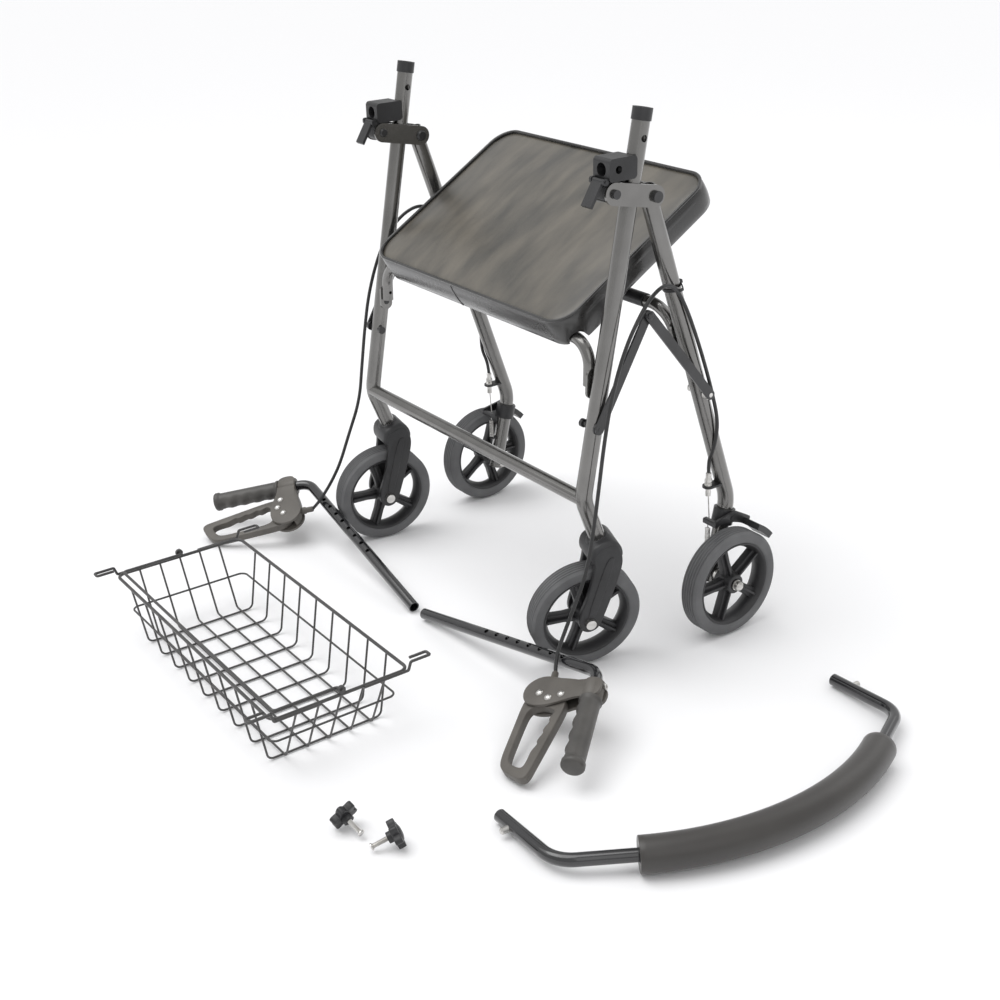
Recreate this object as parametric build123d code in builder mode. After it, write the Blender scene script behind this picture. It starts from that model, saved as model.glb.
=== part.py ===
from build123d import *
import math
import os

# Four-wheeled seat walker, laid out as a kit: the half-folded frame stands on its
# wheels, and the handles, backrest, basket and two star knobs lie round it.
# Millimetres. X runs across the walker, its front (casters) faces -Y, +Z is up.
# at(x, y, z) counts x from the walker's middle plane and y from its caster stems.

os.makedirs("parts", exist_ok=True)

# ---- layout
walker_x = -106.0
walker_y = 109.0
half_width = 257.0
sides = (("right", 1), ("left", -1))

# ---- tubes
tube_r = 11.1
tube_bore = 9.6
slim_r = 7.95
slim_bore = 6.6
crossbar_r = 9.5

# ---- front tube, rear leg and hinge, as (y, z) in a side plane
stem_top = (0.0, 196.5)
front_bend = (-21.5, 252.4)
front_top = (67.7, 727.0)
clip_bolt = (15.2, 637.2)
fold_pivot = (78.2, 625.1)
leg_bend = (231.3, 182.4)
rear_axle = (206.2, 76.2)
knob_hole_down = 33.0

# ---- seat and its rails
rail_x = 237.8
front_rail = (5.0, 450.0)
front_tab = (3.2, 381.0)
rear_tab = (149.8, 416.9)
rear_rail_up = 55.0
seat_tilt = 31.5
seat_half = 220.0
seat_front = -14.0
seat_rear = 266.0
board_low = 8.5
board_high = 14.5
cushion_high = 38.0

# ---- braces
brace_front_pin = (-8.8, 349.0)
brace_mid = (67.0, 481.2)
brace_rear_pin = (173.1, 352.9)
brace_thick = 3.0
front_bar_x = 271.5
rear_bar_x = 275.6

# ---- wheels
wheel_r = 76.2
tyre_width = 30.0
tyre_inner = 60.0
rim_inner = 51.0
hub_r = 15.0
axle_r = 4.0
spoke_count = 5
rear_wheel_x = half_width + 34.9

# ---- casters
caster_axis = (0.0, -0.359, 0.9333)
caster_drop = 109.0
caster_trail = 52.8
caster_turn = {"right": -19.2, "left": -9.2}

# ---- handles
handle_corner = {"right": (362.4, -81.6, 71.4), "left": (-376.1, -82.8, 71.4)}
stem_yaw = 4.8
stem_pitch = 10.0
handle_roll = 21.3
handle_angle = 120.8
stem_length = 363.0
grip_end = 153.0
lever_pin = (34.0, 69.0)
lever_half = 6.0
adjust_holes = 8
adjust_pitch = 22.0
adjust_first = 63.0

# ---- backrest
backrest_middle = (469.0, -43.0)
backrest_turn = -3.5
arm_length = 112.0
foam_half = 178.0
foam_r = 21.0
foam_end_angle = 30.0

# ---- basket
basket_middle = (4.0, -374.0)
rim_half = (231.5, 94.5)
floor_half = (190.0, 80.0)
basket_height = 90.0
rim_wire_r = 2.25
wire_r = 1.4
cross_wires = 9
long_wires = 5

# ---- star knobs: head place and the way the stud points, on the floor
knobs = {"right": ((421.0, -417.0), (-0.33, -0.944)), "left": ((355.0, -447.0), (0.979, 0.203))}
knob_r = 17.0
knob_thick = 12.0
stud_r = 3.0
stud_length = 26.0
stud_tip_r = 4.5

# ---- brake cables
cable_r = 2.5


def at(x, y, z=0.0):
    return Vector(x + walker_x, y + walker_y, z)


def side_plane(x):
    return Plane(origin=at(x, 0, 0), x_dir=(0, 1, 0), z_dir=(1, 0, 0))


def along(a, b, distance):
    """The (y, z) point on the way from a towards b."""
    length = math.dist(a, b)
    return tuple(a[i] + (b[i] - a[i]) * distance / length for i in (0, 1))


def write(piece, name):
    piece.part.label = name
    export_step(piece.part, f"parts/{name}.step")


def bent_tube(route, bend, outer, bore=0.0):
    with BuildPart() as tube:
        with BuildLine() as line:
            FilletPolyline(*route, radius=bend)
        with BuildSketch(Plane(origin=line.line @ 0, z_dir=line.line % 0)):
            Circle(outer)
            if bore:
                Circle(bore, mode=Mode.SUBTRACT)
        sweep()
    return tube.part


def turned(origin, axis, profile):
    """A shape of revolution: profile points are (radius, height along the axis)."""
    axis = Vector(*axis).normalized()
    helper = Vector(0, 0, 1) if abs(axis.Z) < 0.9 else Vector(0, 1, 0)
    radial = axis.cross(helper).normalized()
    with BuildPart() as piece:
        with BuildSketch(Plane(origin=origin, x_dir=radial, z_dir=radial.cross(axis))):
            with BuildLine():
                Polyline(*profile, close=True)
            make_face()
        revolve(axis=Axis(origin, axis))
    return piece.part


def cylinder(origin, axis, radius, low, high):
    return turned(origin, axis, [(0, low), (radius, low), (radius, high), (0, high)])


def bolt(origin, axis, shank, low, high, head=6.5, head_high=4.0, nut=6.0, nut_high=5.0):
    """Head below low, nut above high, one solid."""
    return turned(
        origin,
        axis,
        [
            (0, low - head_high),
            (head * 0.8, low - head_high),
            (head, low - head_high * 0.4),
            (head, low),
            (shank, low),
            (shank, high),
            (nut, high),
            (nut, high + nut_high),
            (0, high + nut_high),
        ],
    )


# ---------------------------------------------------------------- front frame
tube_way = (0.0, front_top[0] - front_bend[0], front_top[1] - front_bend[1])
rivet_spots_front = [along(front_tab, front_rail, d) for d in (10.0, 26.0)]
knob_spot = along(front_top, front_bend, knob_hole_down)


def front_tube(name, side):
    x = side * half_width
    route = [at(x, *stem_top), at(x, *front_bend), at(x, *front_top)]
    body = bent_tube(route, 45.0, tube_r, tube_bore)
    inward = (-side, 0, 0)
    holes = [cylinder(at(x, *knob_spot), (1, 0, 0), 4.2, -14, 14)]
    holes.append(cylinder(at(x, *brace_front_pin), (1, 0, 0), 3.0, -14, 14))
    for spot in rivet_spots_front:
        holes.append(cylinder(at(x, *spot), inward, 2.4, 0, 14))
    with BuildPart() as tube:
        add(body)
        for hole in holes:
            add(hole, mode=Mode.SUBTRACT)
    write(tube, name)


for side_name, side in sides:
    front_tube(f"front_tube_{side_name}", side)

tube_solids = [
    cylinder(at(s * half_width, *front_bend), tube_way, tube_r, -20, 500) for _, s in sides
]
cross_body = cylinder(at(0, *front_bend), (1, 0, 0), crossbar_r, -half_width, half_width)
elbows = [
    bent_tube([at(s * half_width, *stem_top), at(s * half_width, *front_bend),
               at(s * half_width, *front_top)], 45.0, tube_r)
    for _, s in sides
]
with BuildPart() as front_crossbar:
    add(cross_body)
    add(cylinder(at(0, *front_bend), (1, 0, 0), crossbar_r - 1.5, -240, 240), mode=Mode.SUBTRACT)
    for elbow in elbows:
        add(elbow, mode=Mode.SUBTRACT)
write(front_crossbar, "front_crossbar")

# plates either side of each front tube carry the rear leg and the backrest clip
plate_middle = tuple((clip_bolt[i] + fold_pivot[i]) / 2 for i in (0, 1))
plate_angle = math.degrees(math.atan2(fold_pivot[1] - clip_bolt[1], fold_pivot[0] - clip_bolt[0]))
plate_gap = 11.5
plate_thick = 3.0
weld_spot = along(front_top, front_bend, 98.0)

with BuildPart() as hinge_plates:
    for x in (half_width, -half_width):
        for side in (1, -1):
            inner = x + side * plate_gap
            with BuildSketch(side_plane(inner)):
                with Locations(plate_middle):
                    SlotOverall(92, 27, rotation=plate_angle)
                with Locations(clip_bolt):
                    Circle(3.0, mode=Mode.SUBTRACT)
                with Locations(fold_pivot):
                    Circle(axle_r, mode=Mode.SUBTRACT)
            extrude(amount=side * plate_thick)
            with BuildSketch(side_plane(inner)):
                with Locations(weld_spot):
                    Rectangle(12, 22, rotation=plate_angle)
            extrude(amount=-side * 1.2)
    for solid in tube_solids:
        add(solid, mode=Mode.SUBTRACT)
write(hinge_plates, "hinge_plates")

with BuildPart() as tube_bushes:
    for _, s in sides:
        add(turned(
            at(s * half_width, *front_top),
            tube_way,
            [(8.15, 2), (12.3, 2), (12.3, -13), (tube_r, -13), (tube_r, 0),
             (tube_bore, 0), (tube_bore, -25), (8.15, -25)],
        ))
write(tube_bushes, "tube_bushes")


def seat_rail(name, tab, corner, rivet_spots):
    start = along(tab, corner, 14.0)
    route = [at(rail_x, *start), at(rail_x, *corner), at(-rail_x, *corner), at(-rail_x, *start)]
    body = bent_tube(route, 32.0, slim_r, slim_bore)
    middle = along(tab, corner, 18.0)
    lean = math.degrees(math.atan2(corner[1] - tab[1], corner[0] - tab[0]))
    with BuildPart() as rail:
        add(body)
        for _, s in sides:
            with BuildSketch(side_plane(s * (half_width - tube_r - 4.0))):
                with Locations(middle):
                    SlotOverall(40, 19, rotation=lean)
            extrude(amount=s * 4.0)
            for spot in rivet_spots:
                add(cylinder(at(s * rail_x, *spot), (s, 0, 0), 2.4, -20, 20), mode=Mode.SUBTRACT)
    write(rail, name)


seat_rail("front_seat_rail", front_tab, front_rail, rivet_spots_front)

# ---- backrest clips: a lug between the plates, and a body with the arm's bore above them
clip_bore_z = 665.0
clip_front = 6.0
latch_pin = (2.0, 652.6)
with BuildPart() as backrest_clips:
    for _, s in sides:
        x = s * half_width
        with BuildSketch(side_plane(x - 11)):
            with Locations((15.5, 639.5)):
                RectangleRounded(23, 25, 6)
        extrude(amount=22)
        with BuildSketch(side_plane(x - 15)):
            with Locations((27.0, clip_bore_z)):
                RectangleRounded(42, 27, 5)
        extrude(amount=30)
        with BuildSketch(side_plane(x - 13)):
            with Locations((2.5, latch_pin[1])):
                RectangleRounded(9, 8, 3)
        extrude(amount=3.6)
        with BuildSketch(side_plane(x + 9.4)):
            with Locations((2.5, latch_pin[1])):
                RectangleRounded(9, 8, 3)
        extrude(amount=3.6)
        add(cylinder(at(x, *clip_bolt), (1, 0, 0), 3.0, -20, 20), mode=Mode.SUBTRACT)
        add(cylinder(at(x, 0, clip_bore_z), (0, 1, 0), 8.2, 0, 40), mode=Mode.SUBTRACT)
        add(cylinder(at(x, 20, clip_bore_z), (s, 0, 0), 4.7, 0, 20), mode=Mode.SUBTRACT)
        add(cylinder(at(x, *latch_pin), (1, 0, 0), 1.5, -14, 14))
    for solid in tube_solids:
        add(solid, mode=Mode.SUBTRACT)
write(backrest_clips, "backrest_clips")


def latch_lever(name, side):
    x = side * half_width
    with BuildPart() as lever:
        with BuildSketch(side_plane(x - 9)):
            with Locations(latch_pin):
                Circle(3.4)
            with BuildLine():
                Polyline((-0.8, 652.6), (-17.5, 625.6), (-14.5, 623), (2.2, 649.6), close=True)
            make_face()
        extrude(amount=18)
        add(cylinder(at(x, *latch_pin), (1, 0, 0), 1.6, -12, 12), mode=Mode.SUBTRACT)
    write(lever, name)


for side_name, side in sides:
    latch_lever(f"latch_lever_{side_name}", side)

with BuildPart() as frame_bolts:
    for _, s in sides:
        outward = (s, 0, 0)
        x = s * half_width
        add(bolt(at(x, *clip_bolt), outward, 3.0, -14.5, 14.5, 6.0, 3.0, 5.5, 4.0))
        add(bolt(at(x, *fold_pivot), outward, axle_r, -14.5, 14.5, 7.5, 4.0, 7.0, 5.0))
        add(turned(
            at(x, *brace_front_pin),
            outward,
            [(0, -18), (5.5, -18), (5.5, -13), (3, -13), (3, 11.6), (7, 11.6), (7, 14.4),
             (3, 14.4), (3, 17.8), (0, 17.8)],
        ))
        for spot in rivet_spots_front:
            add(turned(
                at(x, *spot),
                (-s, 0, 0),
                [(0, 8), (2.4, 8), (2.4, 15.1), (4.4, 15.1), (3.2, 17.2), (0, 17.2)],
            ))
write(frame_bolts, "frame_bolts")


# ---------------------------------------------------------------- handles
def handle_plane(name, side):
    """Local x runs along the grip, local y towards the stem."""
    yaw, pitch = math.radians(stem_yaw), math.radians(stem_pitch)
    roll, angle = math.radians(handle_roll), math.radians(handle_angle)
    stem = Vector(-side * math.cos(yaw) * math.cos(pitch), -math.sin(yaw) * math.cos(pitch),
                  -math.sin(pitch))
    level = stem.cross(Vector(0, 0, 1)).normalized()
    if level.Y > 0:
        level = level * -1
    rise = level.cross(stem)
    if rise.Z < 0:
        rise = rise * -1
    away = level * math.cos(roll) - rise * math.sin(roll)
    grip = stem * math.cos(angle) + away * math.sin(angle)
    towards = stem * math.sin(angle) - away * math.cos(angle)
    return Plane(origin=at(*handle_corner[name]), x_dir=grip, z_dir=grip.cross(towards))


stem_unit = (math.cos(math.radians(handle_angle)), math.sin(math.radians(handle_angle)))


def local(plane, a, t, h=0.0):
    return plane.from_local_coords(Vector(a, t, h))


def handle_tube(name, plane):
    tip = local(plane, stem_unit[0] * stem_length, stem_unit[1] * stem_length)
    body = bent_tube([tip, plane.origin, local(plane, grip_end - 5, 0)], 30.0, slim_r, slim_bore)
    with BuildPart() as tube:
        add(body)
        for i in range(adjust_holes):
            reach = adjust_first + i * adjust_pitch
            spot = local(plane, stem_unit[0] * reach, stem_unit[1] * reach)
            add(cylinder(spot, plane.z_dir, 3.2, -12, 12), mode=Mode.SUBTRACT)
    write(tube, name)


def handle_grip(name, plane):
    crests = [(13.2 + 0.9 * math.sin((a - 48) * math.pi / 10.5), a) for a in range(52, 142, 3)]
    outline = [(slim_r, 42.5), (15, 42.5), (15, 46), (13.2, 48), *crests, (13.2, 144),
               (14.6, 146), (14.6, 151), (12, grip_end), (0, grip_end), (0, grip_end - 5),
               (slim_r, grip_end - 5)]
    with BuildPart() as grip:
        add(turned(plane.origin, plane.x_dir, outline))
    write(grip, name)


lever_outer = [(24, 62), (50, 33), (60, 33), (156, 54), (167, 57), (166, 65), (146, 98),
               (134, 101.5), (80, 96), (38, 90), (25, 80)]
lever_slot = [(63, 44.5), (143, 63), (149, 68), (137, 88), (130, 91), (80, 86), (52, 80),
              (48, 72), (55, 51)]
plate_outline = [(16, -14.5), (42, -14.5), (42, 24), (54, 44), (52, 66), (44, 86), (28, 93),
                 (12, 88), (4, 72), (8, 44), (16, 20)]


def brake_lever(name, plane):
    with BuildPart() as lever:
        with BuildSketch(plane.offset(-lever_half)):
            with BuildLine():
                FilletPolyline(*lever_outer, radius=5, close=True)
            make_face()
            with BuildLine():
                FilletPolyline(*lever_slot, radius=4, close=True)
            make_face(mode=Mode.SUBTRACT)
            with Locations(lever_pin):
                Circle(3.06, mode=Mode.SUBTRACT)
        extrude(amount=2 * lever_half)
        add(cylinder(local(plane, 164, 60), plane.x_dir, 4.0, 0, 9))
    write(lever, name)


def brake_housing(name, plane):
    with BuildPart() as housing:
        for face in (7.0, -11.0):
            with BuildSketch(plane.offset(face)):
                with BuildLine():
                    FilletPolyline(*plate_outline, radius=7, close=True)
                make_face()
                with Locations(lever_pin, (45, 54.5), (42, 37.5)):
                    Circle(3.0, mode=Mode.SUBTRACT)
            extrude(amount=4)
        with BuildSketch(plane.offset(-11)):
            with Locations((29, 0)):
                RectangleRounded(26, 29, 6)
            with BuildLine():
                Polyline((16, 12), (21, 12), (13, 46), (9, 72), (13, 84), (9, 85), (4.5, 72),
                         (8.5, 44), close=True)
            make_face()
        extrude(amount=22)
        add(cylinder(local(plane, -3, 62), plane.x_dir, 4.2, -8, 12))
        add(cylinder(plane.origin, plane.x_dir, slim_r, 5, 60), mode=Mode.SUBTRACT)
    write(housing, name)


handle_planes = {name: handle_plane(name, side) for name, side in sides}
for side_name, plane in handle_planes.items():
    handle_tube(f"handle_tube_{side_name}", plane)
    handle_grip(f"handle_grip_{side_name}", plane)
    brake_lever(f"brake_lever_{side_name}", plane)
    brake_housing(f"brake_housing_{side_name}", plane)

with BuildPart() as handle_rivets:
    for plane in handle_planes.values():
        pin = local(plane, *lever_pin)
        add(bolt(pin, plane.z_dir, 3.0, -11, 11, 5.2, 2.4, 5.2, 2.4))
        for spot in ((45, 54.5), (42, 37.5)):
            for side in (1, -1):
                way = plane.z_dir * side
                add(turned(local(plane, *spot), way,
                           [(0, 7.2), (3, 7.2), (3, 11), (5, 11), (4, 13), (0, 13)]))
write(handle_rivets, "handle_rivets")


# ---------------------------------------------------------------- rear frame
leg_top = along(fold_pivot, leg_bend, -11.0)
leg_foot = along(rear_axle, leg_bend, -12.0)
rear_corner = along(rear_tab, fold_pivot, rear_rail_up)
rivet_spots_rear = [along(rear_tab, rear_corner, d) for d in (10.0, 26.0)]
brake_pivot = (225.0, 160.0)
stop_spot = (195.0, 210.0)


def rear_leg(name, side):
    x = side * half_width
    body = bent_tube([at(x, *leg_top), at(x, *leg_bend), at(x, *leg_foot)], 60.0, tube_r, tube_bore)
    with BuildPart() as leg:
        add(body)
        add(cylinder(at(x, *fold_pivot), (1, 0, 0), axle_r + 0.06, -14, 14), mode=Mode.SUBTRACT)
        add(cylinder(at(x, *rear_axle), (1, 0, 0), axle_r, -14, 14), mode=Mode.SUBTRACT)
        add(cylinder(at(x, *brace_rear_pin), (1, 0, 0), 3.0, -14, 14), mode=Mode.SUBTRACT)
        for spot in rivet_spots_rear:
            add(cylinder(at(x, *spot), (-side, 0, 0), 2.4, 0, 14), mode=Mode.SUBTRACT)
    write(leg, name)


for side_name, side in sides:
    rear_leg(f"rear_leg_{side_name}", side)

seat_rail("rear_seat_rail", rear_tab, rear_corner, rivet_spots_rear)

with BuildPart() as rail_sleeve:
    add(turned(at(0, *rear_corner), (1, 0, 0),
               [(slim_r, -196), (9.3, -196), (9.3, 196), (slim_r, 196)]))
write(rail_sleeve, "rail_sleeve")

leg_solids = [
    bent_tube([at(s * half_width, *leg_top), at(s * half_width, *leg_bend),
               at(s * half_width, *leg_foot)], 60.0, tube_r)
    for _, s in sides
]

with BuildPart() as rear_fasteners:
    for _, s in sides:
        x = s * half_width
        outward = (s, 0, 0)
        add(turned(
            at(x, *rear_axle),
            outward,
            [(0, -19), (7.5, -19), (7.5, -11.8), (axle_r, -11.8), (axle_r, 11.4), (7, 11.4),
             (7, 19.6), (axle_r, 19.6), (axle_r, 50.2), (7.6, 50.2), (7.6, 52), (6.6, 52),
             (6.6, 58), (4, 60), (0, 60)],
        ))
        add(turned(
            at(x, *brace_rear_pin),
            outward,
            [(0, -18), (5.5, -18), (5.5, -12.2), (3, -12.2), (3, 11.6), (7, 11.6), (7, 18.5),
             (3, 18.5), (3, 21.9), (0, 21.9)],
        ))
        for spot in rivet_spots_rear:
            add(turned(
                at(x, *spot),
                (-s, 0, 0),
                [(0, 8), (2.4, 8), (2.4, 15.1), (4.4, 15.1), (3.2, 17.2), (0, 17.2)],
            ))
write(rear_fasteners, "rear_fasteners")

leg_low_way = (0.0, leg_bend[0] - rear_axle[0], leg_bend[1] - rear_axle[1])
band_spot = along(rear_axle, leg_bend, 84.0)
with BuildPart() as brake_brackets:
    for _, s in sides:
        x = s * half_width
        add(turned(at(x, *band_spot), leg_low_way,
                   [(8, -11), (15, -11), (15, 11), (8, 11)]))
        add(cylinder(at(x, *brake_pivot), (s, 0, 0), 4.0, 12, 20.4))
        with BuildSketch(Plane(origin=at(x, stop_spot[0], stop_spot[1] - 1.5))):
            Circle(8)
            with Locations((0, 12)):
                Rectangle(16, 24)
            Circle(3.6, mode=Mode.SUBTRACT)
        extrude(amount=3)
        with BuildSketch(side_plane(x - 2)):
            with BuildLine():
                Polyline((194, 113), (222, 118), (222, 122), (194, 117), close=True)
            make_face()
        extrude(amount=4)
    for solid in leg_solids:
        add(solid, mode=Mode.SUBTRACT)
write(brake_brackets, "brake_brackets")

# the barrel adjuster, the bare inner wire below it and the arm's return spring
with BuildPart() as cable_fittings:
    for _, s in sides:
        x = s * half_width
        add(turned(
            at(x, *stop_spot),
            (0, 0, 1),
            [(0, -14), (3.6, -14), (3.6, 1.5), (5.2, 1.5), (5.2, 10), (3.8, 12), (3.8, 20), (0, 20)],
        ))
        add(cylinder(at(x, stop_spot[0] + 1, 0), (0, 0, 1), 0.9, 170, 196))
        add(turned(at(x, stop_spot[0] + 2, 0), (0, 0, 1),
                   [(2.2, 118.5), (4, 118.5), (4, 147), (2.2, 147)]))
write(cable_fittings, "cable_fittings")

shoe_inner = 80.2
shoe_outer = 89.0


def brake_arm(name, side):
    low = side * half_width + (16.0 if side > 0 else -19.6)
    inner_side = side * (half_width + 16.0)
    with BuildPart() as arm:
        with BuildSketch(side_plane(low)):
            with BuildLine():
                FilletPolyline((192, 151), (232, 148), (250, 145), (262, 152), (230, 170),
                               (193, 163), radius=4, close=True)
            make_face()
            with Locations(rear_axle):
                Circle(shoe_inner, mode=Mode.SUBTRACT)
            with Locations(brake_pivot):
                Circle(4.06, mode=Mode.SUBTRACT)
        extrude(amount=3.6)
        with BuildSketch(side_plane(inner_side)):
            with Locations(rear_axle):
                Circle(shoe_outer)
                Circle(shoe_inner, mode=Mode.SUBTRACT)
            with BuildLine():
                Polyline(rear_axle, (rear_axle[0] + 60, rear_axle[1] + 110),
                         (rear_axle[0] + 120, rear_axle[1] + 100), close=True)
            make_face(mode=Mode.INTERSECT)
        extrude(amount=side * 32)
        with BuildSketch(side_plane(side * (half_width - 6))):
            with Locations((197, 157)):
                RectangleRounded(8, 8, 2)
        extrude(amount=side * 24)
    write(arm, name)


for side_name, side in sides:
    brake_arm(f"brake_arm_{side_name}", side)


# ---------------------------------------------------------------- braces
def brace_bar(name, x, side, pin, holes):
    """A flat bar from its pin to the lap at the middle of the brace."""
    middle = tuple((pin[i] + brace_mid[i]) / 2 for i in (0, 1))
    lean = math.degrees(math.atan2(brace_mid[1] - pin[1], brace_mid[0] - pin[0]))
    with BuildPart() as bar:
        with BuildSketch(side_plane(side * x)):
            with Locations(middle):
                SlotOverall(math.dist(pin, brace_mid) + 13, 13, rotation=lean)
            with Locations(pin):
                Circle(3.06, mode=Mode.SUBTRACT)
        extrude(amount=side * brace_thick)
        add(turned(at(side * (x + brace_thick / 2), *brace_mid), (side * holes, 0, 0),
                   [(0, 1), (4.6, 1), (4.6, 2.6), (3, 3.6), (0, 3.6)]))
    write(bar, name)


for side_name, side in sides:
    brace_bar(f"brace_front_{side_name}", front_bar_x, side, brace_front_pin, -1)
    brace_bar(f"brace_rear_{side_name}", rear_bar_x, side, brace_rear_pin, 1)

# ---------------------------------------------------------------- seat
tilt = math.radians(seat_tilt)
seat_along = (0, math.cos(tilt), math.sin(tilt))
seat_up = (0, -math.sin(tilt), math.cos(tilt))
seat_face = Plane(origin=at(0, *front_rail), x_dir=(1, 0, 0), z_dir=seat_up)
seat_middle = (seat_front + seat_rear) / 2

with BuildPart() as seat_board:
    with BuildSketch(seat_face.offset(board_low)):
        with Locations((0, seat_middle)):
            RectangleRounded(2 * seat_half - 24, seat_rear - seat_front - 20, 24)
    extrude(amount=board_high - board_low)
write(seat_board, "seat_board")

with BuildPart() as seat_cushion:
    with BuildSketch(seat_face.offset(board_high + 0.1)):
        with Locations((0, seat_middle)):
            RectangleRounded(2 * seat_half, seat_rear - seat_front, 30)
    extrude(amount=cushion_high - board_high - 0.1)
    fillet(seat_cushion.faces().sort_by(Axis(at(0, *front_rail), seat_up))[-1].edges(), radius=7)
write(seat_cushion, "seat_cushion")

strap_plane_x = (150.0, -150.0)
with BuildPart() as seat_straps:
    for x in strap_plane_x:
        plane = Plane(origin=at(x - 12, *front_rail), x_dir=seat_along, z_dir=(1, 0, 0))
        with BuildSketch(plane):
            with Locations((0, board_low - 1.75)):
                Rectangle(44, 3.5)
            with Locations((0, -2)):
                Rectangle(20, 21)
            Circle(12.0)
            Circle(slim_r + 0.12, mode=Mode.SUBTRACT)
            with Locations((0, board_low + 10)):
                Rectangle(60, 20, mode=Mode.SUBTRACT)
        extrude(amount=24)
write(seat_straps, "seat_straps")


# ---------------------------------------------------------------- wheels
def tyre(name, centre, axis):
    half = tyre_width / 2
    crown = [(wheel_r - 5, -half), (wheel_r - 1.2, -half + 3.2)]
    for groove in range(-2, 3):
        middle = groove * 4.6
        crown += [(wheel_r, middle - 1.5), (wheel_r - 1.4, middle - 0.8),
                  (wheel_r - 1.4, middle + 0.8), (wheel_r, middle + 1.5)]
    crown += [(wheel_r - 1.2, half - 3.2), (wheel_r - 5, half)]
    outline = [(tyre_inner, -half + 2), (tyre_inner + 3, -half), *crown, (tyre_inner + 3, half),
               (tyre_inner, half - 2)]
    with BuildPart() as piece:
        add(turned(centre, axis, outline))
    write(piece, name)


def rim(name, centre, axis):
    axis = Vector(*axis).normalized()
    flat = Plane(origin=centre, x_dir=axis.cross(Vector(0, 0, 1)).normalized(), z_dir=axis)
    outline = [(rim_inner, -12), (tyre_inner, -13), (tyre_inner, 13), (rim_inner, 12),
               (rim_inner + 4, 9), (rim_inner + 4, -9)]
    ring = turned(centre, axis, outline)
    with BuildPart() as piece:
        add(ring)
        with BuildSketch(flat.offset(-9)):
            with PolarLocations(0, spoke_count):
                with Locations((34, 0)):
                    Rectangle(42, 11)
        extrude(amount=18)
        with BuildSketch(flat.offset(-15)):
            Circle(hub_r)
        extrude(amount=30)
        with BuildSketch(flat.offset(-15)):
            Circle(axle_r + 0.06)
        extrude(amount=30, mode=Mode.SUBTRACT)
    write(piece, name)


for side_name, side in sides:
    centre = at(side * rear_wheel_x, *rear_axle)
    tyre(f"rear_tyre_{side_name}", centre, (side, 0, 0))
    rim(f"rear_rim_{side_name}", centre, (side, 0, 0))


# ---------------------------------------------------------------- casters
def caster_plane(name, side):
    """Origin on the tube's lower end, z up the stem, x along the axle."""
    turn = math.radians(caster_turn[name])
    axis = Vector(*caster_axis).normalized()
    across = Vector(1, 0, 0)
    axle = across * math.cos(turn) + axis.cross(across) * math.sin(turn)
    return Plane(origin=at(side * half_width, *stem_top), x_dir=axle, z_dir=axis)


def caster(name, side):
    plane = caster_plane(name, side)
    centre = local(plane, 0, -caster_trail, -caster_drop)
    profile = Plane(origin=plane.origin, x_dir=plane.y_dir, z_dir=plane.x_dir)
    with BuildPart() as fork:
        for inner in (17.5, -25.5):
            with BuildSketch(profile.offset(inner)):
                with BuildLine():
                    FilletPolyline((-17, -14), (17, -14), (17, -40), (-38, -116), (-52, -123),
                                   (-66, -112), (-62, -96), (-26, -44), radius=7, close=True)
                make_face()
                with Locations((-caster_trail, -caster_drop)):
                    Circle(axle_r, mode=Mode.SUBTRACT)
            extrude(amount=8)
        with BuildSketch(profile.offset(-25.5)):
            with BuildLine():
                Polyline((-17, -14), (-14, -8), (14, -8), (17, -14), (17, -34), (-18, -30),
                         close=True)
            make_face()
        extrude(amount=51)
        with BuildSketch(plane.offset(-12)):
            Circle(16.5)
        extrude(amount=10, taper=8)
        add(cylinder(plane.origin, plane.z_dir, 6.0, -20, 0), mode=Mode.SUBTRACT)
        add(cylinder(centre, plane.x_dir, wheel_r + 2.2, -16.5, 16.5), mode=Mode.SUBTRACT)
    write(fork, f"caster_fork_{name}")

    with BuildPart() as hardware:
        add(turned(
            plane.origin,
            plane.z_dir,
            [(0, -20), (6, -20), (6, -2), (11, -2), (11, -0.3), (tube_bore - 0.1, -0.3),
             (tube_bore - 0.1, 40), (0, 40)],
        ))
        add(turned(
            centre,
            plane.x_dir,
            [(0, -31), (6.5, -31), (7.5, -28), (7.5, -25.5), (axle_r, -25.5), (axle_r, -17.5),
             (7, -17.5), (7, -15.3), (axle_r, -15.3), (axle_r, 15.3), (7, 15.3), (7, 17.5),
             (axle_r, 17.5), (axle_r, 25.5), (7, 25.5), (7, 31), (0, 31)],
        ))
    write(hardware, f"caster_hardware_{name}")
    tyre(f"front_tyre_{name}", centre, plane.x_dir)
    rim(f"front_rim_{name}", centre, plane.x_dir)
    return plane, centre


for side_name, side in sides:
    plane, centre = caster(side_name, side)
    print("caster", side_name, "centre", centre, "axle", plane.x_dir)

# ---------------------------------------------------------------- basket
mid_x, mid_y = basket_middle


def basket_at(x, y, z):
    return at(mid_x + x, mid_y + y, z)


def wire_loop(route, bend, radius, closed=False):
    with BuildPart() as wire:
        with BuildLine() as line:
            FilletPolyline(*route, radius=bend, close=closed)
        with BuildSketch(Plane(origin=line.line @ 0, z_dir=line.line % 0)):
            Circle(radius)
        sweep()
    return wire.part


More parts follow.
